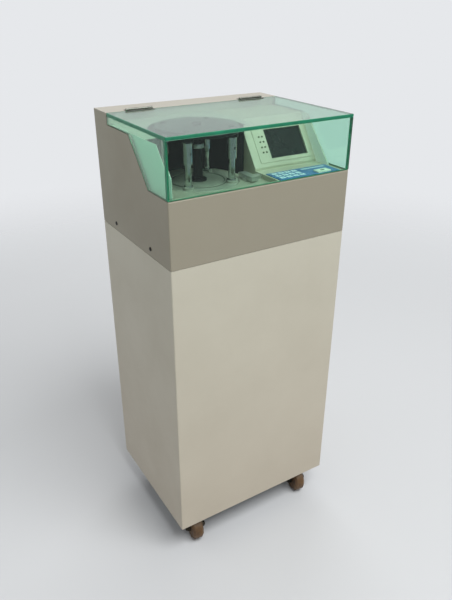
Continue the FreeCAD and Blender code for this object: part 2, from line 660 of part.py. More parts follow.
def bay_surround():
    cheek = plate([(Y_FOOT, Z_DECK), (f"{Y_STRIP} + sheet", Z_DECK), (f"{Y_STRIP} + sheet", Z_BAY),
                   (Y_CHEEK_TOP, Z_BAY), (Y_CHEEK, Z_CHEEK), (Y_CHEEK, Z_OVER_LEDGE), (Y_FOOT, Z_OVER_LEDGE)],
                  f"{LEFT} + cheek_x", "cheek_t")
    top = box(f"{LEFT} + cheek_x", Y_ROOF, f"{Z_BAY} - sheet", f"{X_CONSOLE} - {LEFT} - cheek_x",
              f"{Y_STRIP} + sheet - {Y_ROOF}", "sheet")
    around = f"({HOOD_R} + hood_t + seat_fit)"
    low = f"{Z_BAY} - sheet - cut_extra"
    hole = rod(X_ROTOR, Y_ROTOR, low, around, "sheet + 2*cut_extra")
    mouth = box(f"{X_ROTOR} - {around}", f"{Y_ROTOR} - {around}", low, f"2*{around}", around,
                "sheet + 2*cut_extra")
    return fuse(cheek, cut(top, hole, mouth))


def counting_hood():
    height = f"{Z_BAY} - {Z_DECK}"
    ring = cut(rod(X_ROTOR, Y_ROTOR, Z_DECK, f"{HOOD_R} + hood_t", height),
               rod(X_ROTOR, Y_ROTOR, f"{Z_DECK} - cut_extra", HOOD_R, f"{height} + 2*cut_extra"),
               box(f"{X_ROTOR} - 2*{HOOD_R}", f"{Y_ROTOR} - 2*{HOOD_R}", f"{Z_DECK} - cut_extra",
                   f"4*{HOOD_R}", f"2*{HOOD_R}", f"{height} + 2*cut_extra"))
    start = f"{X_ROTOR} + {HOOD_R}"
    flange = box(start, f"{Y_ROTOR} + hood_set", Z_DECK, f"{X_CONSOLE} - hood_gap - ({start})", "hood_t",
                 f"{height} - sheet")
    return fuse(ring, flange)


# Console with its window and lamps, the keypad and the start key

Y_FACE = f"({FRONT} + console_front)"
Z_FACE = f"({Z_LEDGE} + skirt_h)"
Y_FACE_TOP = f"({Y_FACE} + ({Z_BAY} - {Z_FACE})/tan(face_deg))"
X_DISPLAY = f"({RIGHT} - flange_w - console_gap - disp_right - disp_w)"
X_PAD = f"({X_CONSOLE} + pad_left)"
Y_PAD = f"({FRONT} + ledge_d + pad_front)"
PAD_W = "(console_w - pad_left - pad_right)"
X_START = f"({X_PAD} + {PAD_W} - start_x - start_w)"
Y_START = f"({Y_PAD} + start_y)"
X_STEM = f"({X_START} + start_w/2 - start_stem/2)"
Y_STEM = f"({Y_START} + start_d - start_set - start_stem)"


def on_face(up, out):
    """Y and Z of a point up the slope from the skirt and out of the console's face."""
    return (f"{Y_FACE} + ({up})*cos(face_deg) - ({out})*sin(face_deg)",
            f"{Z_FACE} + ({up})*sin(face_deg) + ({out})*cos(face_deg)")


def face_block(x, up, out, width, height, thickness):
    """Block that lies on the console's face."""
    y, z = on_face(up, out)
    return box(x, y, z, width, height, thickness, X_AXIS, "face_deg")


def lamp_places():
    for row in range(int(number("lamp_rows"))):
        for column in (0, 1):
            yield (f"{X_DISPLAY} - lamp_gap - {column}*lamp_step",
                   f"disp_foot + disp_h/2 + ({row} - (lamp_rows - 1)/2)*lamp_pitch")


def lamp_rod(x, up, radius, out, length):
    y, z = on_face(up, out)
    return rod(x, y, z, radius, length, tilt="face_deg")


def console_housing():
    body = doc.addObject("PartDesign::Body", "console_shell")
    middle = f"{X_CONSOLE} + console_w/2"
    y_front = f"{FRONT} + ledge_d"
    y_back = f"{Y_STRIP} + sheet"
    profile = pad(body, outline(body, [
        (y_front, Z_DECK), (y_back, Z_DECK), (y_back, Z_BAY), (Y_FACE_TOP, Z_BAY),
        (Y_FACE, Z_FACE), (Y_FACE, Z_LEDGE), (y_front, Z_LEDGE)], offset=middle),
        "console_w", midplane=True)
    rounded(body, profile, lambda edge: middle_of(edge).z > number(Z_LEDGE) + 0.001
            and middle_of(edge).y < number(y_back) - 0.001, "mould_r")
    pocket(body, outline(body, [
        (f"{y_front} + console_t", f"{Z_DECK} - cut_extra"),
        (f"{y_back} - console_t", f"{Z_DECK} - cut_extra"),
        (f"{y_back} - console_t", f"{Z_BAY} - console_t"),
        (f"{Y_FACE_TOP} + console_t*tan(face_deg/2)", f"{Z_BAY} - console_t"),
        (f"{Y_FACE} + console_t", f"{Z_FACE} - console_t*tan(45 - face_deg/2)"),
        (f"{Y_FACE} + console_t", f"{Z_LEDGE} - console_t"),
        (f"{y_front} + console_t", f"{Z_LEDGE} - console_t")], offset=middle),
        "console_w - 2*console_t")
    bezel = face_block(f"{X_DISPLAY} - bezel_left", "disp_foot - bezel_low", "-console_t/2",
                       "disp_w + bezel_left + bezel_right", "disp_h + bezel_low + bezel_high",
                       "console_t/2 + bezel_t")
    deep = "console_t + bezel_t + 2*cut_extra"
    window = face_block(X_DISPLAY, "disp_foot", "-console_t - cut_extra", "disp_w", "disp_h", deep)
    lamps = [lamp_rod(x, up, "lamp_r + run_fit", "-console_t - cut_extra", deep)
             for x, up in lamp_places()]
    stem = box(f"{X_STEM} - seat_fit", f"{Y_STEM} - seat_fit", f"{Z_LEDGE} - console_t - cut_extra",
               "start_stem + 2*seat_fit", "start_stem + 2*seat_fit", "console_t + 2*cut_extra")
    y_cheek = f"{FRONT} + right_cheek"
    cheek = plate([(y_cheek, Z_LEDGE), (f"{Y_FACE} + console_t", Z_LEDGE), (f"{Y_FACE_TOP} + console_t", Z_BAY),
                   (f"{y_cheek} + ({Z_BAY} - {Z_LEDGE})/tan(slant_deg)", Z_BAY)],
                  f"{X_CONSOLE} + console_w - console_t", "console_t")
    return cut(fuse(body, bezel, cheek), window, stem, *lamps)


def display_window():
    return face_block(f"{X_DISPLAY} - disp_lap", "disp_foot - disp_lap", "-console_t - disp_t",
                      "disp_w + 2*disp_lap", "disp_h + 2*disp_lap", "disp_t")


def indicator_lamps():
    margin = "2*lamp_r"
    bar = face_block(f"{X_DISPLAY} - lamp_gap - lamp_step - {margin}",
                     f"disp_foot + disp_h/2 - (lamp_rows - 1)/2*lamp_pitch - {margin}",
                     "-console_t - lamp_bar", f"lamp_step + 2*{margin}",
                     f"(lamp_rows - 1)*lamp_pitch + 2*{margin}", "lamp_bar")
    pegs = [lamp_rod(x, up, "lamp_r", "-console_t - lamp_bar/2", "lamp_bar/2 + console_t + bezel_t + lamp_proud")
            for x, up in lamp_places()]
    return fuse(bar, *pegs)


def keypad_panel():
    panel = box(X_PAD, Y_PAD, Z_LEDGE, PAD_W, "pad_d", "pad_t")
    keys = [box(f"{X_PAD} + key_x + {column}*key_dx", f"{Y_PAD} + key_y + {row}*key_dy", Z_LEDGE,
                "key_w", "key_d", "pad_t + key_up")
            for column in range(int(number("key_columns"))) for row in range(int(number("key_rows")))]
    start_hole = box(f"{X_START} - seat_fit", f"{Y_START} - seat_fit", f"{Z_LEDGE} - cut_extra",
                     "start_w + 2*seat_fit", "start_d + 2*seat_fit", "pad_t + 2*cut_extra")
    return cut(fuse(panel, *keys), start_hole)


def start_key():
    rest = f"{Z_LEDGE} + start_travel + seat_fit"
    cap = box(X_START, Y_START, rest, "start_w", "start_d", "start_h")
    stem = box(X_STEM, Y_STEM, f"{rest} - start_reach", "start_stem", "start_stem",
               "start_reach + start_h/2")
    return fuse(cap, stem)


# Clear cover and its two hinges

Y_COVER_BACK = f"({Y_STRIP} - cover_gap)"
Y_HINGE = f"({Y_STRIP} - cover_gap/2)"
Z_HINGE = f"({Z_TOP} + knuckle_r + hinge_clear)"
HINGE_STARTS = [f"({LEFT} + hinge_in - hinge_len/2)", f"({RIGHT} - hinge_in - hinge_len/2)"]
KNUCKLE_LEN = "(hinge_len/3)"


def cover_top():
    return box(LEFT, FRONT, f"{Z_TOP} - cover_t", CAB_W, f"{Y_COVER_BACK} - {FRONT}", "cover_t")


def cover_front():
    return box(LEFT, FRONT, f"{Z_LEDGE} + cover_seat", CAB_W, "cover_t", "top_h - cover_t - cover_seat")


def cover_sides():
    shift = "cover_seat*tan(slant_deg/2)"
    shape = [(f"{FRONT} + cover_t", f"{Z_LEDGE} + cover_seat"),
             (f"{Y_SLANT} - {shift}", f"{Z_LEDGE} + cover_seat"),
             (f"{Y_SLANT_TOP} - {shift}", f"{Z_NOTCH} + cover_seat"),
             (Y_COVER_BACK, f"{Z_NOTCH} + cover_seat"),
             (Y_COVER_BACK, f"{Z_TOP} - cover_t"),
             (f"{FRONT} + cover_t", f"{Z_TOP} - cover_t")]
    return group(plate(shape, LEFT, "cover_t"), plate(shape, f"{RIGHT} - cover_t", "cover_t"))


def knuckle(x, length):
    return rod(x, Y_HINGE, Z_HINGE, "knuckle_r", length, "X")


def pin_hole(x):
    return rod(f"{x} - cut_extra", Y_HINGE, Z_HINGE, "hinge_pin_r + run_fit", "hinge_len + 2*cut_extra", "X")


def cover_hinge_fixed_leaves():
    """Leaves screwed to the top strip, with the two outer knuckles."""
    leaves = []
    near = "knuckle_r + hinge_clear"
    for x in HINGE_STARTS:
        leaf = box(x, f"{Y_HINGE} + {near}", Z_TOP, "hinge_len", f"leaf_w - ({near})", "leaf_t")
        ends = []
        for start in (x, f"{x} + hinge_len - {KNUCKLE_LEN} + hinge_clear"):
            length = f"{KNUCKLE_LEN} - hinge_clear"
            ends.append(knuckle(start, length))
            ends.append(box(start, f"{Y_HINGE} + knuckle_r/2", Z_TOP, length, f"{near} - knuckle_r/2",
                            "knuckle_r"))
        leaves.append(cut(fuse(leaf, *ends), pin_hole(x)))
    return group(*leaves)


def cover_hinge_moving_leaves():
    """Leaves bonded to the cover's top, with the middle knuckle."""
    leaves = []
    near = "knuckle_r + hinge_clear"
    for x in HINGE_STARTS:
        leaf = box(x, f"{Y_HINGE} - leaf_w", Z_TOP, "hinge_len", f"leaf_w - ({near})", "leaf_t")
        start = f"{x} + {KNUCKLE_LEN}"
        web = box(start, f"{Y_HINGE} - ({near})", Z_TOP, KNUCKLE_LEN, f"{near} - knuckle_r/2", "knuckle_r")
        leaves.append(cut(fuse(leaf, web, knuckle(start, KNUCKLE_LEN)), pin_hole(x)))
    return group(*leaves)


def cover_hinge_pins():
    return group(*[rod(x, Y_HINGE, Z_HINGE, "hinge_pin_r", "hinge_len", "X") for x in HINGE_STARTS])


# Suction head: disc, hub, cap, shaft and four spindles that roll round a fixed sun gear

SPINDLE_ANGLES = [45, 135, 225, 315]
Z_DISC = f"({Z_DECK} + disc_proud)"
Z_CAP = f"({Z_TOP} - cover_t - cap_gap)"
Z_CAP_UNDER = f"({Z_CAP} - cap_t)"
Z_GEAR = f"({Z_UNDER} - gear_drop - gear_w)"
Z_PAN = f"({Z_GEAR} - pan_floor_gap)"
Z_HUB = f"({Z_PAN} - pan_wall)"
Z_HUB_END = f"({Z_HUB} - hub_len)"
Z_PULLEY = f"({Z_HUB_END} - pulley_gap - pulley_w)"
Z_UNION = f"({Z_PULLEY} - union_gap)"
Z_SHAFT_END = f"({Z_UNION} - shaft_in)"
Z_PORT = f"({Z_UNION} - union_bore + port_bore_r)"


def spindle_place(angle):
    return (f"{X_ROTOR} + {ORBIT}*cos({angle})", f"{Y_ROTOR} + {ORBIT}*sin({angle})")


def head_disc():
    disc = turned([("0", f"{Z_DISC} - disc_t"), (DISC_R, f"{Z_DISC} - disc_t"), (DISC_R, f"{Z_DISC} - edge_c"),
                   (f"{DISC_R} - edge_c", Z_DISC), ("0", Z_DISC)], X_ROTOR, Y_ROTOR)
    ring = cut(rod(X_ROTOR, Y_ROTOR, Z_DISC, "ring_r", "ring_h"),
               rod(X_ROTOR, Y_ROTOR, f"{Z_DISC} - cut_extra", "ring_r - ring_w", "ring_h + 2*cut_extra"))
    bosses = []
    holes = [rod(X_ROTOR, Y_ROTOR, f"{Z_DISC} - disc_t - cut_extra", "vacuum_r", "disc_t + 2*cut_extra")]
    for angle in SPINDLE_ANGLES:
        x, y = spindle_place(angle)
        bosses.append(rod(x, y, Z_DISC, "boss_r", "boss_h"))
        holes.append(rod(x, y, f"{Z_DISC} - disc_t - cut_extra", "stem_r + run_fit",
                         "disc_t + boss_h + 2*cut_extra"))
    return cut(fuse(disc, ring, *bosses), *holes)


def head_hub():
    column = rod(X_ROTOR, Y_ROTOR, Z_DISC, "hub_r", f"{Z_CAP_UNDER} - {Z_DISC}")
    foot = rod(X_ROTOR, Y_ROTOR, Z_DISC, "hub_foot_r", "hub_foot_h")
    band = rod(X_ROTOR, Y_ROTOR, f"{Z_DISC} + hub_band_up", "hub_band_r", "hub_band_h")
    passage = rod(X_ROTOR, Y_ROTOR, f"{Z_DISC} - cut_extra", "vacuum_r",
                  f"{Z_CAP_UNDER} - {Z_DISC} - cap_t + cut_extra")
    return cut(fuse(column, foot, band), passage)


def head_cap():
    rim = f"{ORBIT} + cap_rim"
    top = turned([("0", Z_CAP_UNDER), (f"{rim} - edge_c", Z_CAP_UNDER), (rim, f"{Z_CAP_UNDER} + edge_c"),
                  (rim, f"{Z_CAP} - edge_c"), (f"{rim} - edge_c", Z_CAP), ("0", Z_CAP)], X_ROTOR, Y_ROTOR)
    collars = []
    bores = []
    for angle in SPINDLE_ANGLES:
        x, y = spindle_place(angle)
        collars.append(rod(x, y, f"{Z_CAP_UNDER} - collar_h", "collar_r", "collar_h"))
        bores.append(rod(x, y, f"{Z_CAP_UNDER} - collar_h - cut_extra", "stub_r + run_fit",
                         "collar_h + cut_extra"))
    return cut(fuse(top, *collars), *bores)


def head_shaft():
    flange_top = f"{Z_DISC} - disc_t"
    return turned([("vacuum_r", Z_SHAFT_END), ("shaft_r", Z_SHAFT_END),
                   ("shaft_r", f"{flange_top} - shaft_flange_t"),
                   ("shaft_flange_r", f"{flange_top} - shaft_flange_t"),
                   ("shaft_flange_r", flange_top), ("vacuum_r", flange_top)], X_ROTOR, Y_ROTOR)


def head_pulley():
    wheel = rod(X_ROTOR, Y_ROTOR, Z_PULLEY, "head_pulley_r", "pulley_w")
    return cut(wheel, rod(X_ROTOR, Y_ROTOR, f"{Z_PULLEY} - cut_extra", "shaft_r", "pulley_w + 2*cut_extra"))


def spindle(angle):
    """Stepped chrome spindle with its pinion cut on the lower end and a suction hole in the barrel."""
    boss_top = f"{Z_DISC} + boss_h"
    barrel = f"{boss_top} + stem_h"
    barrel_top = f"{Z_CAP_UNDER} - collar_h - end_gap"
    pinion = place(gear("pinion_teeth"), "0", "0", Z_GEAR)
    foot = f"{boss_top} + end_gap"
    stepped = turned([("0", Z_GEAR), ("stem_r", Z_GEAR), ("stem_r", foot), ("foot_r", foot),
                      ("foot_r", f"{foot} + foot_h - edge_c"), ("foot_r - edge_c", f"{foot} + foot_h"),
                      ("stem_r", f"{foot} + foot_h"), ("stem_r", barrel), ("barrel_r - edge_c", barrel),
                      ("barrel_r", f"{barrel} + edge_c"), ("barrel_r", f"{barrel_top} - edge_c"),
                      ("barrel_r - edge_c", barrel_top), ("stub_r", barrel_top),
                      ("stub_r", f"{barrel_top} + collar_h"), ("0", f"{barrel_top} + collar_h")], "0", "0")
    hole = rod("0", "0", f"{barrel} + ({barrel_top} - ({barrel}))/2", "suction_r", "2*barrel_r", "Y")
    x, y = spindle_place(angle)
    in_mesh = f"{angle}*sun_teeth/pinion_teeth + {angle} + 180/pinion_teeth"
    return place(cut(fuse(pinion, stepped), hole), x, y, "0", Z_AXIS, in_mesh)


def sun_gear():
    wheel = place(gear("sun_teeth"), X_ROTOR, Y_ROTOR, Z_GEAR)
    return cut(wheel, rod(X_ROTOR, Y_ROTOR, f"{Z_GEAR} - cut_extra", "spigot_r", "gear_w + 2*cut_extra"))


def bearing_housing():
    """Cast gear pan bolted under the deck, with the bearing hub below it and the sun gear's spigot."""
    wall_in = f"{DISC_R} + pan_clear"
    wall_out = f"{wall_in} + pan_wall"
    lip = f"{wall_out} + pan_lip"
    spigot_bore = "shaft_r + shaft_room"
    return turned([(lip, Z_UNDER), (wall_in, Z_UNDER), (wall_in, Z_PAN),
                   ("spigot_r + shoulder_w", Z_PAN), ("spigot_r + shoulder_w", Z_GEAR),
                   ("spigot_r", Z_GEAR), ("spigot_r", f"{Z_GEAR} + gear_w"),
                   (spigot_bore, f"{Z_GEAR} + gear_w"), (spigot_bore, Z_HUB), ("bearing_r", Z_HUB),
                   ("bearing_r", Z_HUB_END), ("bearing_r + hub_wall", Z_HUB_END),
                   ("bearing_r + hub_wall", Z_HUB), (wall_out, Z_HUB),
                   (wall_out, f"{Z_UNDER} - pan_lip_t"), (lip, f"{Z_UNDER} - pan_lip_t")],
                  X_ROTOR, Y_ROTOR)


def head_bearings():
    rings = []
    for z in (f"{Z_HUB} - bearing_w", Z_HUB_END):
        rings.append(cut(rod(X_ROTOR, Y_ROTOR, z, "bearing_r", "bearing_w"),
                         rod(X_ROTOR, Y_ROTOR, f"{z} - cut_extra", "shaft_r + run_fit",
                             "bearing_w + 2*cut_extra")))
    return group(*rings)


# Head drive: motor, belt and pulleys, with the rotary union under the shaft

Y_MOTOR = f"({Y_ROTOR} + motor_reach)"
Z_MOTOR_TOP = f"({Z_PULLEY} - motor_gap)"


def rotary_union():
    body = rod(X_ROTOR, Y_ROTOR, Z_MID, "union_r", f"{Z_UNION} - {Z_MID}")
    port = rod(X_ROTOR, Y_ROTOR, Z_PORT, "port_r", "union_r + port_len", "X")
    bore = rod(X_ROTOR, Y_ROTOR, f"{Z_UNION} - union_bore", "shaft_r + run_fit", "union_bore + cut_extra")
    passage = rod(X_ROTOR, Y_ROTOR, Z_PORT, "port_bore_r", "union_r + port_len + cut_extra", "X")
    return cut(fuse(body, port), bore, passage)


def head_motor():
    base = box(f"{X_ROTOR} - motor_plate/2", f"{Y_MOTOR} - motor_plate/2", Z_MID,
               "motor_plate", "motor_plate", "motor_plate_t")
    case = rod(X_ROTOR, Y_MOTOR, Z_MID, "motor_r", f"{Z_MOTOR_TOP} - {Z_MID}")
    hole = rod(X_ROTOR, Y_MOTOR, f"{Z_MOTOR_TOP} - motor_shaft_in - end_gap", "motor_shaft_r + run_fit",
               "motor_shaft_in + end_gap + cut_extra")
    return cut(fuse(base, case), hole)


def motor_pulley():
    wheel = rod(X_ROTOR, Y_MOTOR, Z_PULLEY, "motor_pulley_r", "pulley_w")
    shaft = rod(X_ROTOR, Y_MOTOR, f"{Z_MOTOR_TOP} - motor_shaft_in", "motor_shaft_r",
                "motor_shaft_in + motor_gap + pulley_w")
    return fuse(wheel, shaft)


def belt_face(grow):
    """Face inside a loop round both pulleys, grown outwards by a distance."""
    large = number("head_pulley_r") + grow
    small = number("motor_pulley_r") + grow
    reach = number("motor_reach")
    lean = math.asin((large - small) / reach)
    side = FreeCAD.Vector(math.cos(lean), math.sin(lean), 0)
    other = FreeCAD.Vector(-side.x, side.y, 0)
    far = FreeCAD.Vector(0, reach, 0)
    edges = [Part.Arc(other * large, FreeCAD.Vector(0, -large, 0), side * large),
             Part.LineSegment(side * large, far + side * small),
             Part.Arc(far + side * small, FreeCAD.Vector(0, reach + small, 0), far + other * small),
             Part.LineSegment(far + other * small, other * large)]
    return Part.Face(Part.Wire([edge.toShape() for edge in edges]))


def drive_belt():
    inside = number("belt_fit")
    band = belt_face(inside + number("belt_t")).cut(belt_face(inside))
    belt = doc.addObject("Part::Feature", "belt")
    belt.Shape = band.extrude(Z_AXIS * number("belt_w"))
    return place(belt, X_ROTOR, Y_ROTOR, f"{Z_PULLEY} + (pulley_w - belt_w)/2")


# Note clamp: a jaw that slides towards the console's side

Y_CLAMP = f"({FRONT} + clamp_y)"


def clamp_rail():
    return box(f"{X_CONSOLE} - rail_len", f"{Y_CLAMP} - rail_w/2", Z_DECK, "rail_len", "rail_w", "rail_h")


def clamp_jaw():
    jaw = box(f"{X_CONSOLE} - jaw_open - jaw_t", f"{Y_CLAMP} - jaw_len/2", f"{Z_DECK} + jaw_lift",
              "jaw_t", "jaw_len", "rail_h + slide_fit + jaw_roof - jaw_lift")
    channel = box(f"{X_CONSOLE} - jaw_open - jaw_t - cut_extra", f"{Y_CLAMP} - rail_w/2 - slide_fit", Z_DECK,
                  "jaw_t + 2*cut_extra", "rail_w + 2*slide_fit", "rail_h + slide_fit")
    return cut(jaw, channel)


# Vacuum pump with its motor on rubber feet, the inlet filter and the pipe to the rotary union

X_PUMP = f"({X_DROP} - pump_len/2)"
X_BED = f"({X_PUMP} - pump_motor_len)"
BED_LEN = "(pump_motor_len + pump_len)"
Z_BED = f"({Z_FLOOR} + foot_pad_h)"
Z_PUMP = f"({Z_BED} + bed_t + saddle_h + pump_motor_r)"
Z_INLET = f"({Z_PUMP} + pump_r + inlet_h)"
Z_FILTER_TOP = f"({Z_INLET} + filter_h)"


def pump_feet():
    across = "bed_w/2 - bed_margin - foot_pad_r"
    return group(*[rod(x, y, Z_FLOOR, "foot_pad_r", "foot_pad_h")
                   for x in (f"{X_BED} + bed_margin + foot_pad_r",
                             f"{X_BED} + {BED_LEN} - bed_margin - foot_pad_r")
                   for y in (f"{Y_ROTOR} - ({across})", f"{Y_ROTOR} + {across}")])


def pump_motor():
    bed = box(X_BED, f"{Y_ROTOR} - bed_w/2", Z_BED, BED_LEN, "bed_w", "bed_t")
    saddle = box(X_BED, f"{Y_ROTOR} - saddle_w/2", f"{Z_BED} + bed_t", "pump_motor_len", "saddle_w",
                 "saddle_h + pump_motor_r/2")
    case = rod(X_BED, Y_ROTOR, Z_PUMP, "pump_motor_r", "pump_motor_len", "X")
    return fuse(bed, saddle, case)


def vacuum_pump():
    case = rod(X_PUMP, Y_ROTOR, Z_PUMP, "pump_r", "pump_len", "X")
    saddle = box(X_PUMP, f"{Y_ROTOR} - saddle_w/2", f"{Z_BED} + bed_t", "pump_len", "saddle_w",
                 "saddle_h + pump_motor_r/2")
    inlet = rod(X_DROP, Y_ROTOR, Z_PUMP, "inlet_r", "pump_r + inlet_h")
    return fuse(case, saddle, inlet)


def inlet_filter():
    canister = rod(X_DROP, Y_ROTOR, Z_INLET, "filter_r", "filter_h")
    nozzle = rod(X_DROP, Y_ROTOR, Z_FILTER_TOP, "port_r", "port_len")
    return fuse(canister, nozzle)


def pipe_core(radius, end):
    """The pipe's run, bend and drop at a given radius, each end longer by a distance."""
    low = f"{Z_FILTER_TOP} + port_len - {end}"
    run = rod(f"{X_PIPE} - {end}", Y_ROTOR, Z_PORT, radius, f"pipe_run + {end}", "X")
    drop = rod(X_DROP, Y_ROTOR, low, radius, f"{Z_PORT} - pipe_bend - ({low})")
    bend = doc.addObject("Part::Torus", "bend")
    bend.Angle3 = 90
    bind(bend, Radius1="pipe_bend", Radius2=radius)
    place(bend, f"{X_PIPE} + pipe_run", Y_ROTOR, f"{Z_PORT} - pipe_bend", X_AXIS, "90")
    return fuse(run, bend, drop)


def vacuum_pipe():
    return cut(pipe_core("pipe_r", "0"), pipe_core("pipe_bore_r", "cut_extra"))


# Electrics: power supply, control board, power inlet and its rocker

Y_PIVOT = f"({BACK_WALL} + socket_flange - rocker_in)"
Z_PIVOT = f"({Z_SOCKET} + rocker_z)"


def power_supply():
    return box(f"{RIGHT} - sheet - pan_t - supply_side - supply_w", f"{FRONT} + sheet + supply_front",
               Z_FLOOR, "supply_w", "supply_d", "supply_h")


def control_board():
    x = f"{RIGHT} - sheet - board_side - board_w"
    y = f"{FRONT} + sheet + board_front"
    z = f"{Z_UNDER} - board_gap - board_t"
    board = box(x, y, z, "board_w", "board_d", "board_t")
    posts = [rod(px, py, z, "post_r", "board_t + board_gap")
             for px in (f"{x} + post_in", f"{x} + board_w - post_in")
             for py in (f"{y} + post_in", f"{y} + board_d - post_in")]
    chips = [box(f"{x} + board_w/2 + {side}*chip_w", f"{y} + board_d/2 - chip_w/2", f"{z} - chip_h",
                 "chip_w/2", "chip_w", "chip_h") for side in (-1, 0, 1)]
    return fuse(board, *posts, *chips)


def power_inlet():
    """Inlet and switch in one moulded module, set into the rear wall."""
    flange = box(f"{X_SOCKET} - socket_w/2", BACK_WALL, Z_SOCKET, "socket_w", "socket_flange", "socket_h")
    case = box(f"{X_SOCKET} - socket_w/2 + socket_lap", f"{BACK_WALL} - socket_depth",
               f"{Z_SOCKET} + socket_lap", "socket_w - 2*socket_lap", "socket_depth", "socket_h - 2*socket_lap")
    face = f"{BACK_WALL} + socket_flange"
    well = box(f"{X_SOCKET} - well_w/2", f"{face} - well_d", f"{Z_SOCKET} + well_z - well_h/2",
               "well_w", "well_d + cut_extra", "well_h")
    rocker_well = box(f"{X_SOCKET} - rocker_w/2 - seat_fit", f"{Y_PIVOT} - rocker_t/2 - rocker_room",
                      f"{Z_PIVOT} - rocker_h/2 - rocker_room", "rocker_w + 2*seat_fit",
                      "rocker_t + 2*rocker_room + rocker_in", "rocker_h + 2*rocker_room")
    pin_hole_len = "rocker_w + 2*rocker_pin_out + 2*seat_fit"
    pivot = rod(f"{X_SOCKET} - ({pin_hole_len})/2", Y_PIVOT, Z_PIVOT, "rocker_pin_r + run_fit",
                pin_hole_len, "X")
    blades = [box(f"{X_SOCKET} + {side}*blade_pitch - blade_w/2", f"{face} - well_d - cut_extra",
                  f"{Z_SOCKET} + well_z + {rise} - blade_h/2", "blade_w", "blade_len + cut_extra", "blade_h")
              for side, rise in ((-1, "0"), (0, "blade_h/2"), (1, "0"))]
    return fuse(cut(fuse(flange, case), well, rocker_well, pivot), *blades)


def rocker_switch():
    cap = box("-rocker_w/2", "-rocker_t/2", "-rocker_h/2", "rocker_w", "rocker_t", "rocker_h")
    pin_len = "rocker_w + 2*rocker_pin_out"
    pin = rod(f"-({pin_len})/2", "0", "0", "rocker_pin_r", pin_len, "X")
    return place(fuse(cap, pin), X_SOCKET, Y_PIVOT, Z_PIVOT, X_AXIS, "rocker_deg")


# Rear door on two pins, with its lock

X_ROLLED = f"({X_DOOR} + door_gap + rolled_r)"
Y_ROLLED = f"({BACK_WALL} - rolled_r)"
X_DOOR_END = f"({X_DOOR} + {DOOR_W} - door_gap)"
Z_DOOR_LOW = f"({Z_DOOR} + door_gap)"
DOOR_PANEL_H = f"({DOOR_H} - 2*door_gap)"
X_LOCK = f"({X_DOOR_END} - lock_in)"
Z_LOCK = f"({Z_DOOR} + {DOOR_H}/2)"


def rear_door():
    panel = box(X_ROLLED, f"{BACK_WALL} - sheet", Z_DOOR_LOW, f"{X_DOOR_END} - {X_ROLLED}", "sheet",
                DOOR_PANEL_H)
    rolled = rod(X_ROLLED, Y_ROLLED, Z_DOOR_LOW, "rolled_r", DOOR_PANEL_H)
    edge_y = f"{BACK_WALL} - door_flange"
    side = box(f"{X_DOOR_END} - sheet", edge_y, Z_DOOR_LOW, "sheet", "door_flange", DOOR_PANEL_H)
    edge_x = f"{X_ROLLED} + 2*rolled_r"
    edges = [box(edge_x, edge_y, z, f"{X_DOOR_END} - ({edge_x})", "door_flange", "sheet")
             for z in (Z_DOOR_LOW, f"{Z_DOOR_LOW} + {DOOR_PANEL_H} - sheet")]
    bore = rod(X_ROLLED, Y_ROLLED, f"{Z_DOOR_LOW} - cut_extra", "door_pin_r + run_fit",
               f"{DOOR_PANEL_H} + 2*cut_extra")
    lock_hole = rod(X_LOCK, f"{BACK_WALL} - sheet - cut_extra", Z_LOCK, "lock_r + run_fit",
                    "sheet + 2*cut_extra", "Y")
    middle = f"({X_ROLLED} + {X_DOOR_END})/2 - louvre_w/2"
    slots = [box(middle, f"{BACK_WALL} - sheet - cut_extra",
                 f"{Z_DOOR} + {DOOR_H} - louvre_top - {row}*louvre_pitch", "louvre_w",
                 "sheet + 2*cut_extra", "louvre_h") for row in range(int(number("louvre_rows")))]
    return cut(fuse(panel, rolled, side, *edges), bore, lock_hole, *slots)


def door_lock():
    """Lock barrel with its cam hanging down, which is the unlocked place."""
    cam_y = f"{BACK_WALL} - door_flange - cut_extra - lock_cam_t"
    barrel = rod(X_LOCK, cam_y, Z_LOCK, "lock_r", f"{BACK_WALL} + lock_rim_t - ({cam_y})", "Y")
    rim = rod(X_LOCK, f"{BACK_WALL} + seat_fit", Z_LOCK, "lock_rim_r", "lock_rim_t - seat_fit", "Y")
    cam = box(f"{X_LOCK} - lock_cam_w/2", cam_y, f"{Z_LOCK} - lock_cam", "lock_cam_w", "lock_cam_t", "lock_cam")
    slot = box(f"{X_LOCK} - lock_slot_w/2", f"{BACK_WALL} + lock_rim_t - cut_extra", f"{Z_LOCK} - lock_slot_h/2",
               "lock_slot_w", "2*cut_extra", "lock_slot_h")
    return cut(fuse(barrel, rim, cam), slot)


def door_hinge_pins():
    """Ears on the rear wall above and below the door, each with its pin."""
    ear_x = f"{X_ROLLED} - ear_w/2"
    ear_y = f"{BACK_WALL} - sheet - ear_d"
    reach = "door_gap + door_pin_in"
    low = fuse(box(ear_x, ear_y, f"{Z_DOOR} - ear_t", "ear_w", "ear_d", "ear_t"),
               rod(X_ROLLED, Y_ROLLED, f"{Z_DOOR} - ear_t/2", "door_pin_r", f"ear_t/2 + {reach}"))
    top = f"{Z_DOOR} + {DOOR_H}"
    high = fuse(box(ear_x, ear_y, top, "ear_w", "ear_d", "ear_t"),
                rod(X_ROLLED, Y_ROLLED, f"{top} - ({reach})", "door_pin_r", f"{reach} + ear_t/2"))
    return group(low, high)


# Castors: plate with kingpin, fork with axle, and wheel, each made round its swivel axis

CASTOR_PLACES = [(f"{LEFT} + castor_x", f"{FRONT} + castor_y"), (f"{RIGHT} - castor_x", f"{FRONT} + castor_y"),
                 (f"{LEFT} + castor_x", f"{BACK} - castor_y"), (f"{RIGHT} - castor_x", f"{BACK} - castor_y")]
Z_CROWN = "(wheel_d + crown_up)"
Z_PLATE = f"({Z_BASE} - plate_t)"
FORK_W = "(wheel_w + 2*leg_gap + 2*leg_t)"


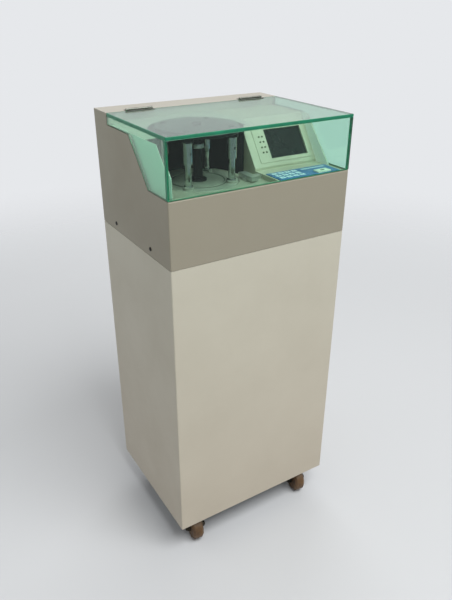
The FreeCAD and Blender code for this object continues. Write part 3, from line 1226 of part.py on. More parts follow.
def castor_plates():
    plates = []
    for x, y in CASTOR_PLACES:
        flat = box(f"{x} - plate_w/2", f"{y} - plate_w/2", Z_PLATE, "plate_w", "plate_w", "plate_t")
        head_low = f"{Z_CROWN} - swivel_gap - kingpin_head_t"
        head = rod(x, y, head_low, "kingpin_head_r", "kingpin_head_t")
        kingpin = rod(x, y, head_low, "kingpin_r", f"{Z_PLATE} - ({head_low}) + plate_t/2")
        plates.append(fuse(flat, head, kingpin))
    return group(*plates)


def castor_fork(x, y):
    axle_z = "wheel_d/2"
    crown_top = f"{Z_CROWN} + crown_t"
    crown = box(f"-{FORK_W}/2", "-trail - nut_r", Z_CROWN, FORK_W, "trail + nut_r + crown_back", "crown_t")
    race = rod("0", "0", Z_CROWN, "race_r", f"{Z_PLATE} - swivel_gap - {Z_CROWN}")
    leg = [("crown_back", crown_top), ("crown_back", Z_CROWN), ("-trail + nut_r", f"{axle_z} - nut_r/2"),
           ("-trail + nut_r/2", f"{axle_z} - nut_r"), ("-trail - nut_r/2", f"{axle_z} - nut_r"),
           ("-trail - nut_r", f"{axle_z} - nut_r/2"), ("-trail - nut_r", crown_top)]
    legs = [plate(leg, f"-{FORK_W}/2", "leg_t"), plate(leg, f"{FORK_W}/2 - leg_t", "leg_t")]
    axle = rod(f"-{FORK_W}/2", "-trail", axle_z, "axle_r", FORK_W, "X")
    nuts = [rod(nx, "-trail", axle_z, "nut_r", "nut_t", "X")
            for nx in (f"-{FORK_W}/2 - nut_t", f"{FORK_W}/2")]
    bore = rod("0", "0", f"{Z_CROWN} - cut_extra", "kingpin_r + run_fit", f"{Z_PLATE} - {Z_CROWN} + cut_extra")
    whole = cut(fuse(crown, race, axle, *legs, *nuts), bore)
    return place(whole, x, y, "0", Z_AXIS, "-castor_deg")


def castor_wheel(x, y):
    """Solid wheel with a chamfered tread and a bored hub."""
    body = doc.addObject("PartDesign::Body", "wheel")
    rim = "wheel_d/2"
    half = "wheel_w/2"
    sketch = outline(body, [("axle_r + run_fit", f"-{half}"), (f"{rim} - wheel_round", f"-{half}"),
                            (rim, f"-{half} + wheel_round"), (rim, f"{half} - wheel_round"),
                            (f"{rim} - wheel_round", half), ("axle_r + run_fit", half)], role="XZ_Plane")
    feature = body.newObject("PartDesign::Revolution", "revolution")
    feature.Profile = sketch
    feature.ReferenceAxis = (sketch, ["V_Axis"])
    feature.Angle = 360
    place(body, "0", "-trail", "wheel_d/2", Y_AXIS, "90")
    return place(group(body), x, y, "0", Z_AXIS, "-castor_deg")


SUBPARTS = {
    "base_pan": base_pan(),
    "lower_cabinet": lower_cabinet(),
    "middle_frame": middle_frame(),
    "upper_housing": upper_housing(),
    "rear_top_cover": rear_top_cover(),
    "housing_screws": housing_screws(),
    "deck_plate": deck_plate(),
    "deck_pillars": deck_pillars(),
    "bay_surround": bay_surround(),
    "counting_hood": counting_hood(),
    "console_housing": console_housing(),
    "display_window": display_window(),
    "indicator_lamps": indicator_lamps(),
    "keypad_panel": keypad_panel(),
    "start_key": start_key(),
    "cover_top": cover_top(),
    "cover_front": cover_front(),
    "cover_sides": cover_sides(),
    "cover_hinge_fixed_leaves": cover_hinge_fixed_leaves(),
    "cover_hinge_moving_leaves": cover_hinge_moving_leaves(),
    "cover_hinge_pins": cover_hinge_pins(),
    "head_disc": head_disc(),
    "head_hub": head_hub(),
    "head_cap": head_cap(),
    "head_shaft": head_shaft(),
    "head_pulley": head_pulley(),
    "sun_gear": sun_gear(),
    "bearing_housing": bearing_housing(),
    "head_bearings": head_bearings(),
    "rotary_union": rotary_union(),
    "head_motor": head_motor(),
    "motor_pulley": motor_pulley(),
    "drive_belt": drive_belt(),
    "clamp_rail": clamp_rail(),
    "clamp_jaw": clamp_jaw(),
    "pump_feet": pump_feet(),
    "pump_motor": pump_motor(),
    "vacuum_pump": vacuum_pump(),
    "inlet_filter": inlet_filter(),
    "vacuum_pipe": vacuum_pipe(),
    "power_supply": power_supply(),
    "control_board": control_board(),
    "power_inlet": power_inlet(),
    "rocker_switch": rocker_switch(),
    "rear_door": rear_door(),
    "door_lock": door_lock(),
    "door_hinge_pins": door_hinge_pins(),
    "castor_plates": castor_plates(),
}
for number_of, angle in enumerate(SPINDLE_ANGLES, start=1):
    SUBPARTS[f"spindle_{number_of}"] = spindle(angle)
for number_of, (castor_at_x, castor_at_y) in enumerate(CASTOR_PLACES, start=1):
    SUBPARTS[f"castor_fork_{number_of}"] = castor_fork(castor_at_x, castor_at_y)
    SUBPARTS[f"castor_wheel_{number_of}"] = castor_wheel(castor_at_x, castor_at_y)

for label, item in SUBPARTS.items():
    item.Label = label
doc.recompute()

failed = [item.Label for item in doc.Objects if "Invalid" in item.State or "Error" in item.State]
failed += [label for label, item in SUBPARTS.items() if item.Shape.isNull() or not item.Shape.isValid()]
if failed:
    raise RuntimeError("failed: " + ", ".join(failed))

os.makedirs("parts", exist_ok=True)
for label, item in SUBPARTS.items():
    item.Shape.exportStep(f"parts/{label}.step")
print(len(SUBPARTS), "sub-parts written")
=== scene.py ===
import math
import bmesh
import bpy
from mathutils import Matrix, Vector


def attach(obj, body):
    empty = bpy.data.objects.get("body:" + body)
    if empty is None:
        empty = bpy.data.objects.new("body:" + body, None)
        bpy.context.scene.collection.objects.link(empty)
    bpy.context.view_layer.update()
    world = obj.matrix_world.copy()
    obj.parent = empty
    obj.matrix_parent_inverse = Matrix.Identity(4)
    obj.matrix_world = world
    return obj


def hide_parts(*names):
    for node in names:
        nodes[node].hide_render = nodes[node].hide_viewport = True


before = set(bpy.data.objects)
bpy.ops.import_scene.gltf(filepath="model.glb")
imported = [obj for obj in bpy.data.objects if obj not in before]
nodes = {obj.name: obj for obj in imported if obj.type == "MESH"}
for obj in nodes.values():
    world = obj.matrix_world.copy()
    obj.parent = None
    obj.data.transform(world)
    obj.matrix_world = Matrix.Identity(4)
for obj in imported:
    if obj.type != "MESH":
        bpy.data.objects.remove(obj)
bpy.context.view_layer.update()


# The four swivel castors: dark zinc forks under square plates, each with a
# solid brown wheel on a steel axle. The plates are bolted under the base pan.


def tone(red, green, blue):
    """A colour in the usual 0 to 255 steps, as Blender's linear values."""
    linear = []
    for step in (red, green, blue):
        share = step / 255.0
        linear.append(share / 12.92 if share <= 0.04045 else ((share + 0.055) / 1.055) ** 2.4)
    return (*linear, 1.0)


def set_sockets(made, values):
    """Sets a node's sockets by name, with underscores for the spaces."""
    for socket, value in values.items():
        made.inputs[socket.replace("_", " ")].default_value = value


def new_finish(name, **constants):
    """A material with one shader; the constants are set on the shader's own sockets."""
    finish = bpy.data.materials.new(name)
    finish.use_nodes = True
    shader = finish.node_tree.nodes["Principled BSDF"]
    set_sockets(shader, constants)
    return finish, finish.node_tree, shader


def add(tree, kind, **values):
    """A shader node of the given kind, with its sockets set by name."""
    made = tree.nodes.new("ShaderNode" + kind)
    set_sockets(made, values)
    return made


def feed(tree, socket, source):
    """Gives a socket a constant, or another node's output."""
    if isinstance(source, (float, tuple)):
        socket.default_value = source
    else:
        tree.links.new(source, socket)


def reckon(tree, operation, *terms):
    """A sum on its terms, each a number or another node's output."""
    made = add(tree, "Math")
    made.operation = operation
    for socket, term in zip(made.inputs, terms):
        feed(tree, socket, term)
    return made.outputs["Value"]


def respan(tree, value, smooth=False, **ends):
    """A value carried from one span to another, and held at both ends."""
    made = add(tree, "MapRange", **ends)
    if smooth:
        made.interpolation_type = "SMOOTHSTEP"
    tree.links.new(value, made.inputs["Value"])
    return made.outputs["Result"]


def own_place(tree):
    """The place on the piece, which moves with the piece."""
    return add(tree, "TexCoord").outputs["Object"]


def noise(tree, place, **values):
    """Soft noise, read at a place."""
    made = add(tree, "TexNoise", **values)
    tree.links.new(place, made.inputs["Vector"])
    return made


def effect(name, inputs, outputs):
    """An empty node group with number sockets of these names."""
    group = bpy.data.node_groups.new(name, "ShaderNodeTree")
    for socket in inputs:
        group.interface.new_socket(name=socket, in_out="INPUT", socket_type="NodeSocketFloat")
    for socket in outputs:
        group.interface.new_socket(name=socket, in_out="OUTPUT", socket_type="NodeSocketFloat")
    entry = group.nodes.new("NodeGroupInput")
    leave = group.nodes.new("NodeGroupOutput")
    return group, entry.outputs, leave.inputs


grain_effect, entry, leave = effect("fine_grain", ["Grain Scale", "Mottle Scale"], ["Height", "Mottle"])
place = own_place(grain_effect)
fine = noise(grain_effect, place, Detail=2.0, Roughness=0.5)
broad = noise(grain_effect, place, Detail=5.0, Roughness=0.6)
grain_effect.links.new(entry["Grain Scale"], fine.inputs["Scale"])
grain_effect.links.new(entry["Mottle Scale"], broad.inputs["Scale"])
patches = respan(grain_effect, broad.outputs["Fac"], From_Min=0.32, From_Max=0.68)
grain_effect.links.new(fine.outputs["Fac"], leave["Height"])
grain_effect.links.new(patches, leave["Mottle"])

wear_effect, entry, leave = effect("edge_wear", ["Radius", "Break Scale"], ["Mask"])
rounded = add(wear_effect, "Bevel")
rounded.samples = 4
facing = add(wear_effect, "NewGeometry")
agree = add(wear_effect, "VectorMath")
agree.operation = "DOT_PRODUCT"
broken = noise(wear_effect, own_place(wear_effect), Detail=6.0, Roughness=0.7)
wear_effect.links.new(entry["Radius"], rounded.inputs["Radius"])
wear_effect.links.new(entry["Break Scale"], broken.inputs["Scale"])
wear_effect.links.new(rounded.outputs["Normal"], agree.inputs[0])
wear_effect.links.new(facing.outputs["True Normal"], agree.inputs[1])
edge = respan(wear_effect, agree.outputs["Value"], From_Min=0.985, From_Max=0.85)
patches = respan(wear_effect, broken.outputs["Fac"], From_Min=0.45, From_Max=0.62)
wear_effect.links.new(reckon(wear_effect, "MULTIPLY", edge, patches), leave["Mask"])


def place_effect(tree, group, **values):
    """The shared effect placed in a material, with its own values."""
    made = tree.nodes.new("ShaderNodeGroup")
    made.node_tree = group
    set_sockets(made, values)
    return made.outputs


def blend_colours(tree, factor, first, second):
    """A colour between two, each a colour or another node's output."""
    mixed = tree.nodes.new("ShaderNodeMix")
    mixed.data_type = "RGBA"
    tree.links.new(factor, mixed.inputs[0])
    feed(tree, mixed.inputs[6], first)
    feed(tree, mixed.inputs[7], second)
    return mixed.outputs[2]


def vary_polish(tree, shader, mask, rough):
    """Roughness that follows a mask from one value to another."""
    polish = respan(tree, mask, To_Min=rough[0], To_Max=rough[1])
    tree.links.new(polish, shader.inputs["Roughness"])


def raise_skin(tree, shader, height, depth, reach):
    """A fine relief of the surface that follows a height."""
    bump = add(tree, "Bump", Strength=depth, Distance=reach)
    tree.links.new(height, bump.inputs["Height"])
    tree.links.new(bump.outputs["Normal"], shader.inputs["Normal"])


skin_reach = 0.0004


def grained(name, light, dark, rough, grain, mottle, depth, wear=None, **constants):
    """A painted, moulded or cast finish: two close tones in soft patches over a fine grain.
    Worn edges, where given, are a bare tone, a radius and how finely they break up."""
    finish, tree, shader = new_finish(name, **constants)
    surface = place_effect(tree, grain_effect, Grain_Scale=grain, Mottle_Scale=mottle)
    colour = blend_colours(tree, surface["Mottle"], light, dark)
    if wear:
        bare_tone, edge_radius, break_scale = wear
        worn = place_effect(tree, wear_effect, Radius=edge_radius, Break_Scale=break_scale)
        colour = blend_colours(tree, worn["Mask"], colour, bare_tone)
    tree.links.new(colour, shader.inputs["Base Color"])
    vary_polish(tree, shader, surface["Mottle"], rough)
    raise_skin(tree, shader, surface["Height"], depth, skin_reach)
    return finish


def dress(finish, *names):
    """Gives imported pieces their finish."""
    for name in names:
        mesh = nodes[name].data
        mesh.materials.clear()
        mesh.materials.append(finish)


castor_numbers = (1, 2, 3, 4)
dark_zinc = grained("castor_dark_zinc", tone(72, 66, 55), tone(44, 40, 34), rough=(0.38, 0.55),
                    grain=700.0, mottle=60.0, depth=0.15,
                    wear=(tone(132, 126, 112), 0.0008, 220.0), Metallic=0.85)
brown_tyre = grained("castor_brown_tyre", tone(104, 76, 42), tone(72, 50, 28), rough=(0.42, 0.62),
                     grain=420.0, mottle=45.0, depth=0.25,
                     wear=(tone(140, 116, 84), 0.0012, 160.0))
dress(dark_zinc, "castor_plates", *["castor_fork_%d" % number for number in castor_numbers])
dress(brown_tyre, *["castor_wheel_%d" % number for number in castor_numbers])

overhead = Vector((0.0, 0.0, 1.0))
square_on = 0.99


def pick_facing(piece, heading):
    """In edit mode, selects the faces that look along a heading."""
    form = bmesh.from_edit_mesh(piece.data)
    for face in form.faces:
        face.select_set(face.normal.dot(heading) > square_on)
    bmesh.update_edit_mesh(piece.data)


def place_fixed():
    """Puts the place, turn and size of what is selected into its mesh."""
    bpy.ops.object.transform_apply(location=True, rotation=True, scale=True)


def upright_bar(sides, radius, height):
    """A round or many-sided bar that stands on the origin."""
    bpy.ops.object.select_all(action="DESELECT")
    bpy.ops.mesh.primitive_cylinder_add(vertices=sides, radius=radius, depth=height,
                                        location=(0.0, 0.0, height / 2.0))
    place_fixed()
    return bpy.context.object


def hex_head(radius, height):
    """A hexagon head that stands on the origin, with the corners of its top turned off."""
    head = upright_bar(6, radius, height)
    bpy.ops.object.mode_set(mode="EDIT")
    bpy.ops.mesh.select_mode(type="FACE")
    pick_facing(head, overhead)
    for inset, rise in ((radius * 0.12, height * 0.2), (radius * 0.34, height * 0.25)):
        bpy.ops.mesh.inset(thickness=inset)
        bpy.ops.transform.translate(value=(0.0, 0.0, rise))
    bpy.ops.object.mode_set(mode="OBJECT")
    return head


smooth_limit = math.radians(35.0)


def set_out(master, name, body, finish, places):
    """Copies a finished form to each place and turn, as one piece that rides on its body."""
    copies = []
    for place, turn in places:
        copy = bpy.data.objects.new(name, master.data.copy())
        bpy.context.scene.collection.objects.link(copy)
        copy.location = place
        copy.rotation_euler = turn
        copies.append(copy)
    bpy.data.objects.remove(master)
    bpy.ops.object.select_all(action="DESELECT")
    for copy in copies:
        copy.select_set(True)
    bpy.context.view_layer.objects.active = copies[0]
    place_fixed()
    if len(copies) > 1:
        bpy.ops.object.join()
    piece = bpy.context.object
    piece.name = name
    piece.data.materials.clear()
    piece.data.materials.append(finish)
    bpy.ops.object.shade_smooth_by_angle(angle=smooth_limit)
    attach(piece, body)
    return piece


castor_turn = math.radians(-8.0)
castor_trail = 0.022
axle_height = 0.0315
axle_end = 0.0225
quarter_turn = math.pi / 2.0
castor_pivots = ((-0.163, -0.1185), (0.163, -0.1185), (-0.163, 0.1185), (0.163, 0.1185))
axle_line = Vector((math.cos(castor_turn), math.sin(castor_turn), 0.0))
for number, (pivot_x, pivot_y) in zip(castor_numbers, castor_pivots):
    axle_middle = Vector((pivot_x + castor_trail * math.sin(castor_turn),
                          pivot_y - castor_trail * math.cos(castor_turn), axle_height))
    set_out(hex_head(radius=0.0062, height=0.0028), "castor_axle_nuts_%d" % number, "fork_%d" % number,
            dark_zinc,
            [(axle_middle + axle_line * axle_end, (0.0, quarter_turn, castor_turn)),
             (axle_middle - axle_line * axle_end, (0.0, quarter_turn, castor_turn + math.pi))])


# The base pan and the middle frame: folded galvanised sheet, spot welded into
# the cabinet. The door's two hinge pins are of the same bright zinc.


spangle_zinc, tree, shader = new_finish("spangled_zinc", Metallic=1.0)
spangle = add(tree, "TexVoronoi", Scale=95.0, Randomness=1.0)
cell = add(tree, "SeparateColor")
tree.links.new(own_place(tree), spangle.inputs["Vector"])
tree.links.new(spangle.outputs["Color"], cell.inputs["Color"])
colour = blend_colours(tree, cell.outputs["Red"], tone(196, 198, 196), tone(164, 168, 168))
tree.links.new(colour, shader.inputs["Base Color"])
vary_polish(tree, shader, cell.outputs["Green"], (0.32, 0.5))
dress(spangle_zinc, "base_pan", "middle_frame", "door_hinge_pins")


# The vacuum set on the base pan: a motor block on four rubber feet, the rotary
# pump beside it, a moulded inlet filter in two steel bands, and the rigid pipe
# up to the head, held by two clamps.


motor_grey = grained("motor_grey_enamel", tone(96, 104, 108), tone(78, 86, 90), rough=(0.35, 0.5),
                     grain=260.0, mottle=30.0, depth=0.35,
                     wear=(tone(150, 152, 150), 0.001, 180.0))
pump_iron = grained("pump_cast_iron", tone(74, 76, 78), tone(52, 54, 56), rough=(0.5, 0.68),
                    grain=520.0, mottle=35.0, depth=0.6, Metallic=0.5)
foot_rubber = grained("foot_rubber", tone(34, 33, 32), tone(22, 22, 22), rough=(0.65, 0.85),
                      grain=500.0, mottle=50.0, depth=0.3)
filter_grey = grained("filter_moulding", tone(176, 178, 172), tone(150, 152, 148), rough=(0.3, 0.42),
                      grain=600.0, mottle=25.0, depth=0.08)
pipe_grey = grained("pipe_moulding", tone(118, 122, 120), tone(100, 104, 102), rough=(0.35, 0.48),
                    grain=640.0, mottle=25.0, depth=0.08)
bright_band = grained("bright_band", tone(188, 190, 190), tone(164, 166, 168), rough=(0.22, 0.36),
                      grain=900.0, mottle=80.0, depth=0.08, Metallic=1.0)
dress(motor_grey, "pump_motor")
dress(pump_iron, "vacuum_pump")
dress(foot_rubber, "pump_feet")
dress(filter_grey, "inlet_filter")
dress(pipe_grey, "vacuum_pipe")


def ease_edges(piece, width, segments):
    """Cuts or rounds the sharp edges of the active piece."""
    soft = piece.modifiers.new("ease", "BEVEL")
    soft.width = width
    soft.segments = segments
    soft.limit_method = "ANGLE"
    bpy.ops.object.modifier_apply(modifier="ease")


def band(radius, wall, width):
    """A ring round the upright axis at the origin: an open tube given its wall, with eased edges."""
    bpy.ops.object.select_all(action="DESELECT")
    bpy.ops.mesh.primitive_cylinder_add(vertices=64, radius=radius, depth=width, end_fill_type="NOTHING")
    ring = bpy.context.object
    skin = ring.modifiers.new("wall", "SOLIDIFY")
    skin.thickness = wall
    skin.offset = 1.0
    bpy.ops.object.modifier_apply(modifier="wall")
    ease_edges(ring, wall * 0.25, 2)
    return ring


def eased_block(width, depth, height, ease, lid=None):
    """A block that stands on the origin, with eased edges and, where given, a stepped lid."""
    bpy.ops.object.select_all(action="DESELECT")
    bpy.ops.mesh.primitive_cube_add(size=1.0, location=(0.0, 0.0, height / 2.0))
    block = bpy.context.object
    block.scale = (width, depth, height)
    place_fixed()
    if lid:
        bpy.ops.object.mode_set(mode="EDIT")
        bpy.ops.mesh.select_mode(type="FACE")
        pick_facing(block, overhead)
        bpy.ops.mesh.inset(thickness=lid)
        bpy.ops.mesh.extrude_region_move(TRANSFORM_OT_translate={"value": (0.0, 0.0, lid)})
        bpy.ops.object.mode_set(mode="OBJECT")
    ease_edges(block, ease, 2)
    return block


axis_y = -0.040
motor_height = 0.183
along_x = (0.0, quarter_turn, 0.0)
upright_turn = (0.0, 0.0, 0.0)

rib_first = -0.140
rib_pitch = 0.010
rib_count = 10
set_out(band(radius=0.0579, wall=0.0042, width=0.003), "motor_ribs", "cabinet", motor_grey,
        [((rib_first + rib_pitch * step, axis_y, motor_height), along_x) for step in range(rib_count)])

terminal_x = -0.095
motor_top = 0.239
set_out(eased_block(width=0.056, depth=0.042, height=0.024, ease=0.0014, lid=0.002),
        "motor_terminal_box", "cabinet", motor_grey,
        [((terminal_x, axis_y, motor_top), upright_turn)])

pump_face = 0.066
bolt_circle = 0.041
bolt_count = 6
bolt_turns = [2.0 * math.pi * step / bolt_count for step in range(bolt_count)]
set_out(hex_head(radius=0.0048, height=0.0034), "pump_bolts", "cabinet", bright_band,
        [((pump_face, axis_y + bolt_circle * math.cos(turn), motor_height + bolt_circle * math.sin(turn)),
          along_x) for turn in bolt_turns])

riser_x = 0.026
filter_seams = (0.268, 0.361)
riser_clamp = (riser_x, axis_y, 0.390)
cross_pipe_clamp = (-0.033, axis_y, 0.802)
set_out(band(radius=0.0359, wall=0.0016, width=0.007), "filter_bands", "cabinet", bright_band,
        [((riser_x, axis_y, height), upright_turn) for height in filter_seams])
set_out(band(radius=0.0120, wall=0.0012, width=0.009), "pipe_clamps", "cabinet", bright_band,
        [(riser_clamp, upright_turn), (cross_pipe_clamp, along_x)])


# The electrics: a power supply in a pressed and ribbed case, the control board
# under the deck, and the mains inlet with its rocker switch in the back wall.


supply_case = grained("supply_case", tone(186, 188, 184), tone(166, 168, 166), rough=(0.34, 0.46),
                      grain=900.0, mottle=30.0, depth=0.08, Metallic=0.9)
board_green = grained("board_green", tone(22, 84, 48), tone(16, 66, 40), rough=(0.28, 0.4),
                      grain=1400.0, mottle=180.0, depth=0.1)
black_moulding = grained("black_moulding", tone(18, 18, 19), tone(13, 13, 14), rough=(0.42, 0.58),
                         grain=1300.0, mottle=30.0, depth=0.14, Specular_IOR_Level=0.2)
dress(supply_case, "power_supply")
dress(board_green, "control_board")
dress(black_moulding, "power_inlet", "rocker_switch")

supply_x = 0.147
supply_top = 0.150
supply_rib_first = -0.100
supply_rib_pitch = 0.011
supply_rib_count = 13
set_out(eased_block(width=0.074, depth=0.004, height=0.0014, ease=0.0005),
        "supply_ribs", "cabinet", supply_case,
        [((supply_x, supply_rib_first + supply_rib_pitch * step, supply_top), upright_turn)
         for step in range(supply_rib_count)])


# The lower cabinet: folded sheet steel in a pale warm grey powder coat, with a
# hinged service door and its chromed lock in the back.


def own_axis(tree, axis):
    """One axis of the place on the piece."""
    split = add(tree, "SeparateXYZ")
    tree.links.new(own_place(tree), split.inputs["Vector"])
    return split.outputs[axis]


def powder_coat(name, upper, lower, floor_height, top_height):
    """Powder coat with an orange-peel skin and soft patches of dust, painted darker and warmer towards the
    floor as painted shade.
    """
    finish, tree, shader = new_finish(name, IOR=1.5)
    surface = place_effect(tree, grain_effect, Grain_Scale=620.0, Mottle_Scale=5.0)
    # Painted shade: the coat blends to its darker, warmer lower tone towards the floor.
    rise = respan(tree, own_axis(tree, "Z"), From_Min=floor_height, From_Max=top_height)
    coat = blend_colours(tree, rise, lower, upper)
    soil = respan(tree, surface["Mottle"], To_Min=0.0, To_Max=0.10)
    coat = blend_colours(tree, soil, coat, tone(120, 108, 88))
    worn = place_effect(tree, wear_effect, Radius=0.0015, Break_Scale=90.0)
    rub = respan(tree, worn["Mask"], To_Max=0.35)
    coat = blend_colours(tree, rub, coat, tone(206, 200, 184))
    tree.links.new(coat, shader.inputs["Base Color"])
    vary_polish(tree, shader, surface["Mottle"], (0.40, 0.52))
    raise_skin(tree, shader, surface["Height"], 0.12, skin_reach)
    return finish


cabinet_floor = 0.08
cabinet_seam = 0.78
pale_coat = powder_coat("pale_powder_coat", tone(188, 185, 169), tone(184, 175, 158),
                        cabinet_floor, cabinet_seam)
dress(pale_coat, "lower_cabinet", "rear_door")

line_reach = 0.0002


def brushed(name, light, dark, rough, stretch):
    """Brushed or turned metal: fine lines drawn out along one axis."""
    finish, tree, shader = new_finish(name, Metallic=1.0)
    drawn = add(tree, "Mapping", Scale=stretch)
    tree.links.new(own_place(tree), drawn.inputs["Vector"])
    lines = noise(tree, drawn.outputs["Vector"], Scale=1.0, Detail=3.0, Roughness=0.6).outputs["Fac"]
    span = respan(tree, lines, From_Min=0.3, From_Max=0.7)
    tree.links.new(blend_colours(tree, span, light, dark), shader.inputs["Base Color"])
    vary_polish(tree, shader, span, rough)
    raise_skin(tree, shader, lines, 0.06, line_reach)
    return finish


polished_lines = (260.0, 260.0, 900.0)
chrome = brushed("polished_chrome", tone(224, 226, 226), tone(206, 209, 210), rough=(0.05, 0.12),
                 stretch=polished_lines)
dress(chrome, "door_lock")


# The drive under the deck: a cast bearing housing on turned pillars, the shaft
# with its motor, pulleys and belt, the sun gear that turns the spindles, and
# the union that joins the pipe to the turning shaft.


turned_lines = (40.0, 40.0, 1500.0)
cast_alloy = grained("cast_alloy", tone(150, 152, 150), tone(128, 130, 130), rough=(0.45, 0.6),
                     grain=700.0, mottle=30.0, depth=0.4,
                     wear=(tone(196, 198, 196), 0.001, 200.0), Metallic=0.8)
turned_steel = brushed("turned_steel", tone(198, 200, 200), tone(172, 175, 176), rough=(0.2, 0.34),
                       stretch=turned_lines)
alloy = brushed("turned_alloy", tone(204, 206, 208), tone(182, 185, 187), rough=(0.24, 0.38),
                stretch=turned_lines)
dress(cast_alloy, "bearing_housing")
dress(turned_steel, "deck_pillars", "head_shaft", "sun_gear", "head_bearings")
dress(alloy, "head_pulley", "rotary_union", "motor_pulley")
dress(motor_grey, "head_motor")
dress(foot_rubber, "drive_belt")


# The upper housing and the strip behind the cover: folded sheet steel in a
# darker warm grey, the strip's top painted lighter as painted light from above, held to the frame by four
# dark screws in the sides. Two small screws of the same kind hold the mains inlet.


housing_top = 1.03
grey_coat = powder_coat("grey_powder_coat", tone(146, 142, 125), tone(144, 139, 123),
                        cabinet_seam, housing_top)
# The strip is the housing's grey painted lighter: painted light for the light that falls on its top.
strip_lit_coat = powder_coat("strip_coat_painted_light", tone(162, 158, 147), tone(160, 155, 143),
                         cabinet_seam, housing_top)
screw_black = grained("blackened_screw", tone(48, 47, 45), tone(34, 33, 32), rough=(0.3, 0.45),
                      grain=900.0, mottle=120.0, depth=0.1, Metallic=0.9)
dress(grey_coat, "upper_housing")
dress(strip_lit_coat, "rear_top_cover")


def cross_screw(radius, height):
    """A pan-head screw that stands on the origin, its crown rounded and cut with a cross recess."""
    head = upright_bar(24, radius, height)
    bpy.ops.object.mode_set(mode="EDIT")
    bpy.ops.mesh.select_mode(type="FACE")
    pick_facing(head, overhead)
    bpy.ops.mesh.bevel(offset=height * 0.6, segments=3, affect="EDGES")
    bpy.ops.object.mode_set(mode="OBJECT")
    for turn in (0.0, quarter_turn):
        bpy.ops.object.select_all(action="DESELECT")
        bpy.ops.mesh.primitive_cube_add(size=1.0, location=(0.0, 0.0, height), rotation=(0.0, 0.0, turn))
        cutter = bpy.context.object
        cutter.scale = (radius * 1.1, radius * 0.28, height)
        place_fixed()
        bpy.context.view_layer.objects.active = head
        recess = head.modifiers.new("recess", "BOOLEAN")
        recess.object = cutter
        recess.operation = "DIFFERENCE"
        bpy.ops.object.modifier_apply(modifier="recess")
        bpy.data.objects.remove(cutter)
    return head


facing_left = (0.0, -quarter_turn, 0.0)
facing_back = (-quarter_turn, 0.0, 0.0)
side_face = 0.219
side_screw_height = 0.797
side_screw_depths = (-0.083, 0.095)
side_screws = set_out(cross_screw(radius=0.0045, height=0.0015), "side_screws", "cabinet",
                      screw_black,
                      [((side * side_face, depth, side_screw_height), along_x if side > 0 else facing_left)
                       for side in (-1.0, 1.0) for depth in side_screw_depths])
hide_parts("housing_screws")

inlet_face = 0.171
inlet_height = 0.138
inlet_screw_places = (0.1385, 0.1795)
set_out(cross_screw(radius=0.0026, height=0.001), "inlet_screws", "cabinet", screw_black,
        [((across, inlet_face, inlet_height), facing_back) for across in inlet_screw_places])


# The deck: a thick steel plate in pale satin enamel, that closes the cabinet
# and carries everything under the cover.


deck_enamel = grained("deck_enamel", tone(160, 159, 143), tone(150, 148, 131), rough=(0.34, 0.46),
                      grain=900.0, mottle=9.0, depth=0.1,
                      wear=(tone(150, 150, 142), 0.0008, 140.0))
dress(deck_enamel, "deck_plate")


# The suction head: a pale satin disc with painted shade in two dark lines at the foot of its raised ring, a
# black hub and a black cap, with the four chromed suction spindles standing between disc and
# cap. A nut and four screws hold the cap.


def length_of(tree, vector):
    """How far a place lies from the middle."""
    made = add(tree, "VectorMath")
    made.operation = "LENGTH"
    tree.links.new(vector, made.inputs[0])
    return made.outputs["Value"]


head_x = -0.082
head_y = -0.040
turned_rate = 4200.0
ring_middle = 0.0585
shade_line_beside = 0.0030
shade_line_half = 0.0013
disc_satin, tree, shader = new_finish("satin_disc")
centred = add(tree, "Mapping", Location=(-head_x, -head_y, 0.0), Scale=(1.0, 1.0, 0.0))
tree.links.new(own_place(tree), centred.inputs["Vector"])
from_middle = length_of(tree, centred.outputs["Vector"])
cut_lines = reckon(tree, "SINE", reckon(tree, "MULTIPLY", from_middle, turned_rate))
span = respan(tree, cut_lines, From_Min=-1.0, From_Max=1.0)
colour = blend_colours(tree, span, tone(158, 158, 145), tone(142, 142, 130))
# Painted shade: two dark lines beside the raised ring stand in for the shade in the creases at its foot.
from_ring = reckon(tree, "ABSOLUTE", reckon(tree, "SUBTRACT", from_middle, ring_middle))
ring_shade_lines = reckon(tree, "COMPARE", from_ring, shade_line_beside, shade_line_half)
colour = blend_colours(tree, ring_shade_lines, colour, tone(62, 66, 60))
tree.links.new(colour, shader.inputs["Base Color"])
vary_polish(tree, shader, span, (0.30, 0.44))
raise_skin(tree, shader, span, 0.05, line_reach)

spindle_chrome = brushed("spindle_chrome", tone(212, 215, 214), tone(192, 195, 194), rough=(0.06, 0.14),
                         stretch=polished_lines)
head_black = grained("anodised_black", tone(34, 35, 36), tone(24, 25, 26), rough=(0.3, 0.42),
                     grain=900.0, mottle=60.0, depth=0.08,
                     wear=(tone(120, 122, 122), 0.0005, 260.0), Metallic=0.6)
dress(disc_satin, "head_disc")
dress(head_black, "head_hub", "head_cap")
dress(spindle_chrome, "spindle_1", "spindle_2", "spindle_3", "spindle_4")

hub_band_height = 0.9835
cap_top = 1.019
spindle_step = 0.0509
set_out(band(radius=0.0131, wall=0.0010, width=0.0084), "hub_band", "head", turned_steel,
        [((head_x, head_y, hub_band_height), upright_turn)])
set_out(hex_head(radius=0.009, height=0.0045), "cap_nut", "head", head_black,
        [((head_x, head_y, cap_top), upright_turn)])
set_out(cross_screw(radius=0.0055, height=0.0022), "cap_screws", "head", head_black,
        [((head_x + across * spindle_step, head_y + back * spindle_step, cap_top), upright_turn)
         for across in (-1.0, 1.0) for back in (-1.0, 1.0)])


# The bay's surround and the console: cream mouldings with a fine grain, whose two side cheeks
# are painted paler, as painted light for the light that reaches them through the side sheets.
# The hood over the head is a black moulding, and the clamp is brushed steel on a rail of its own.


cheek_reach = 0.0003


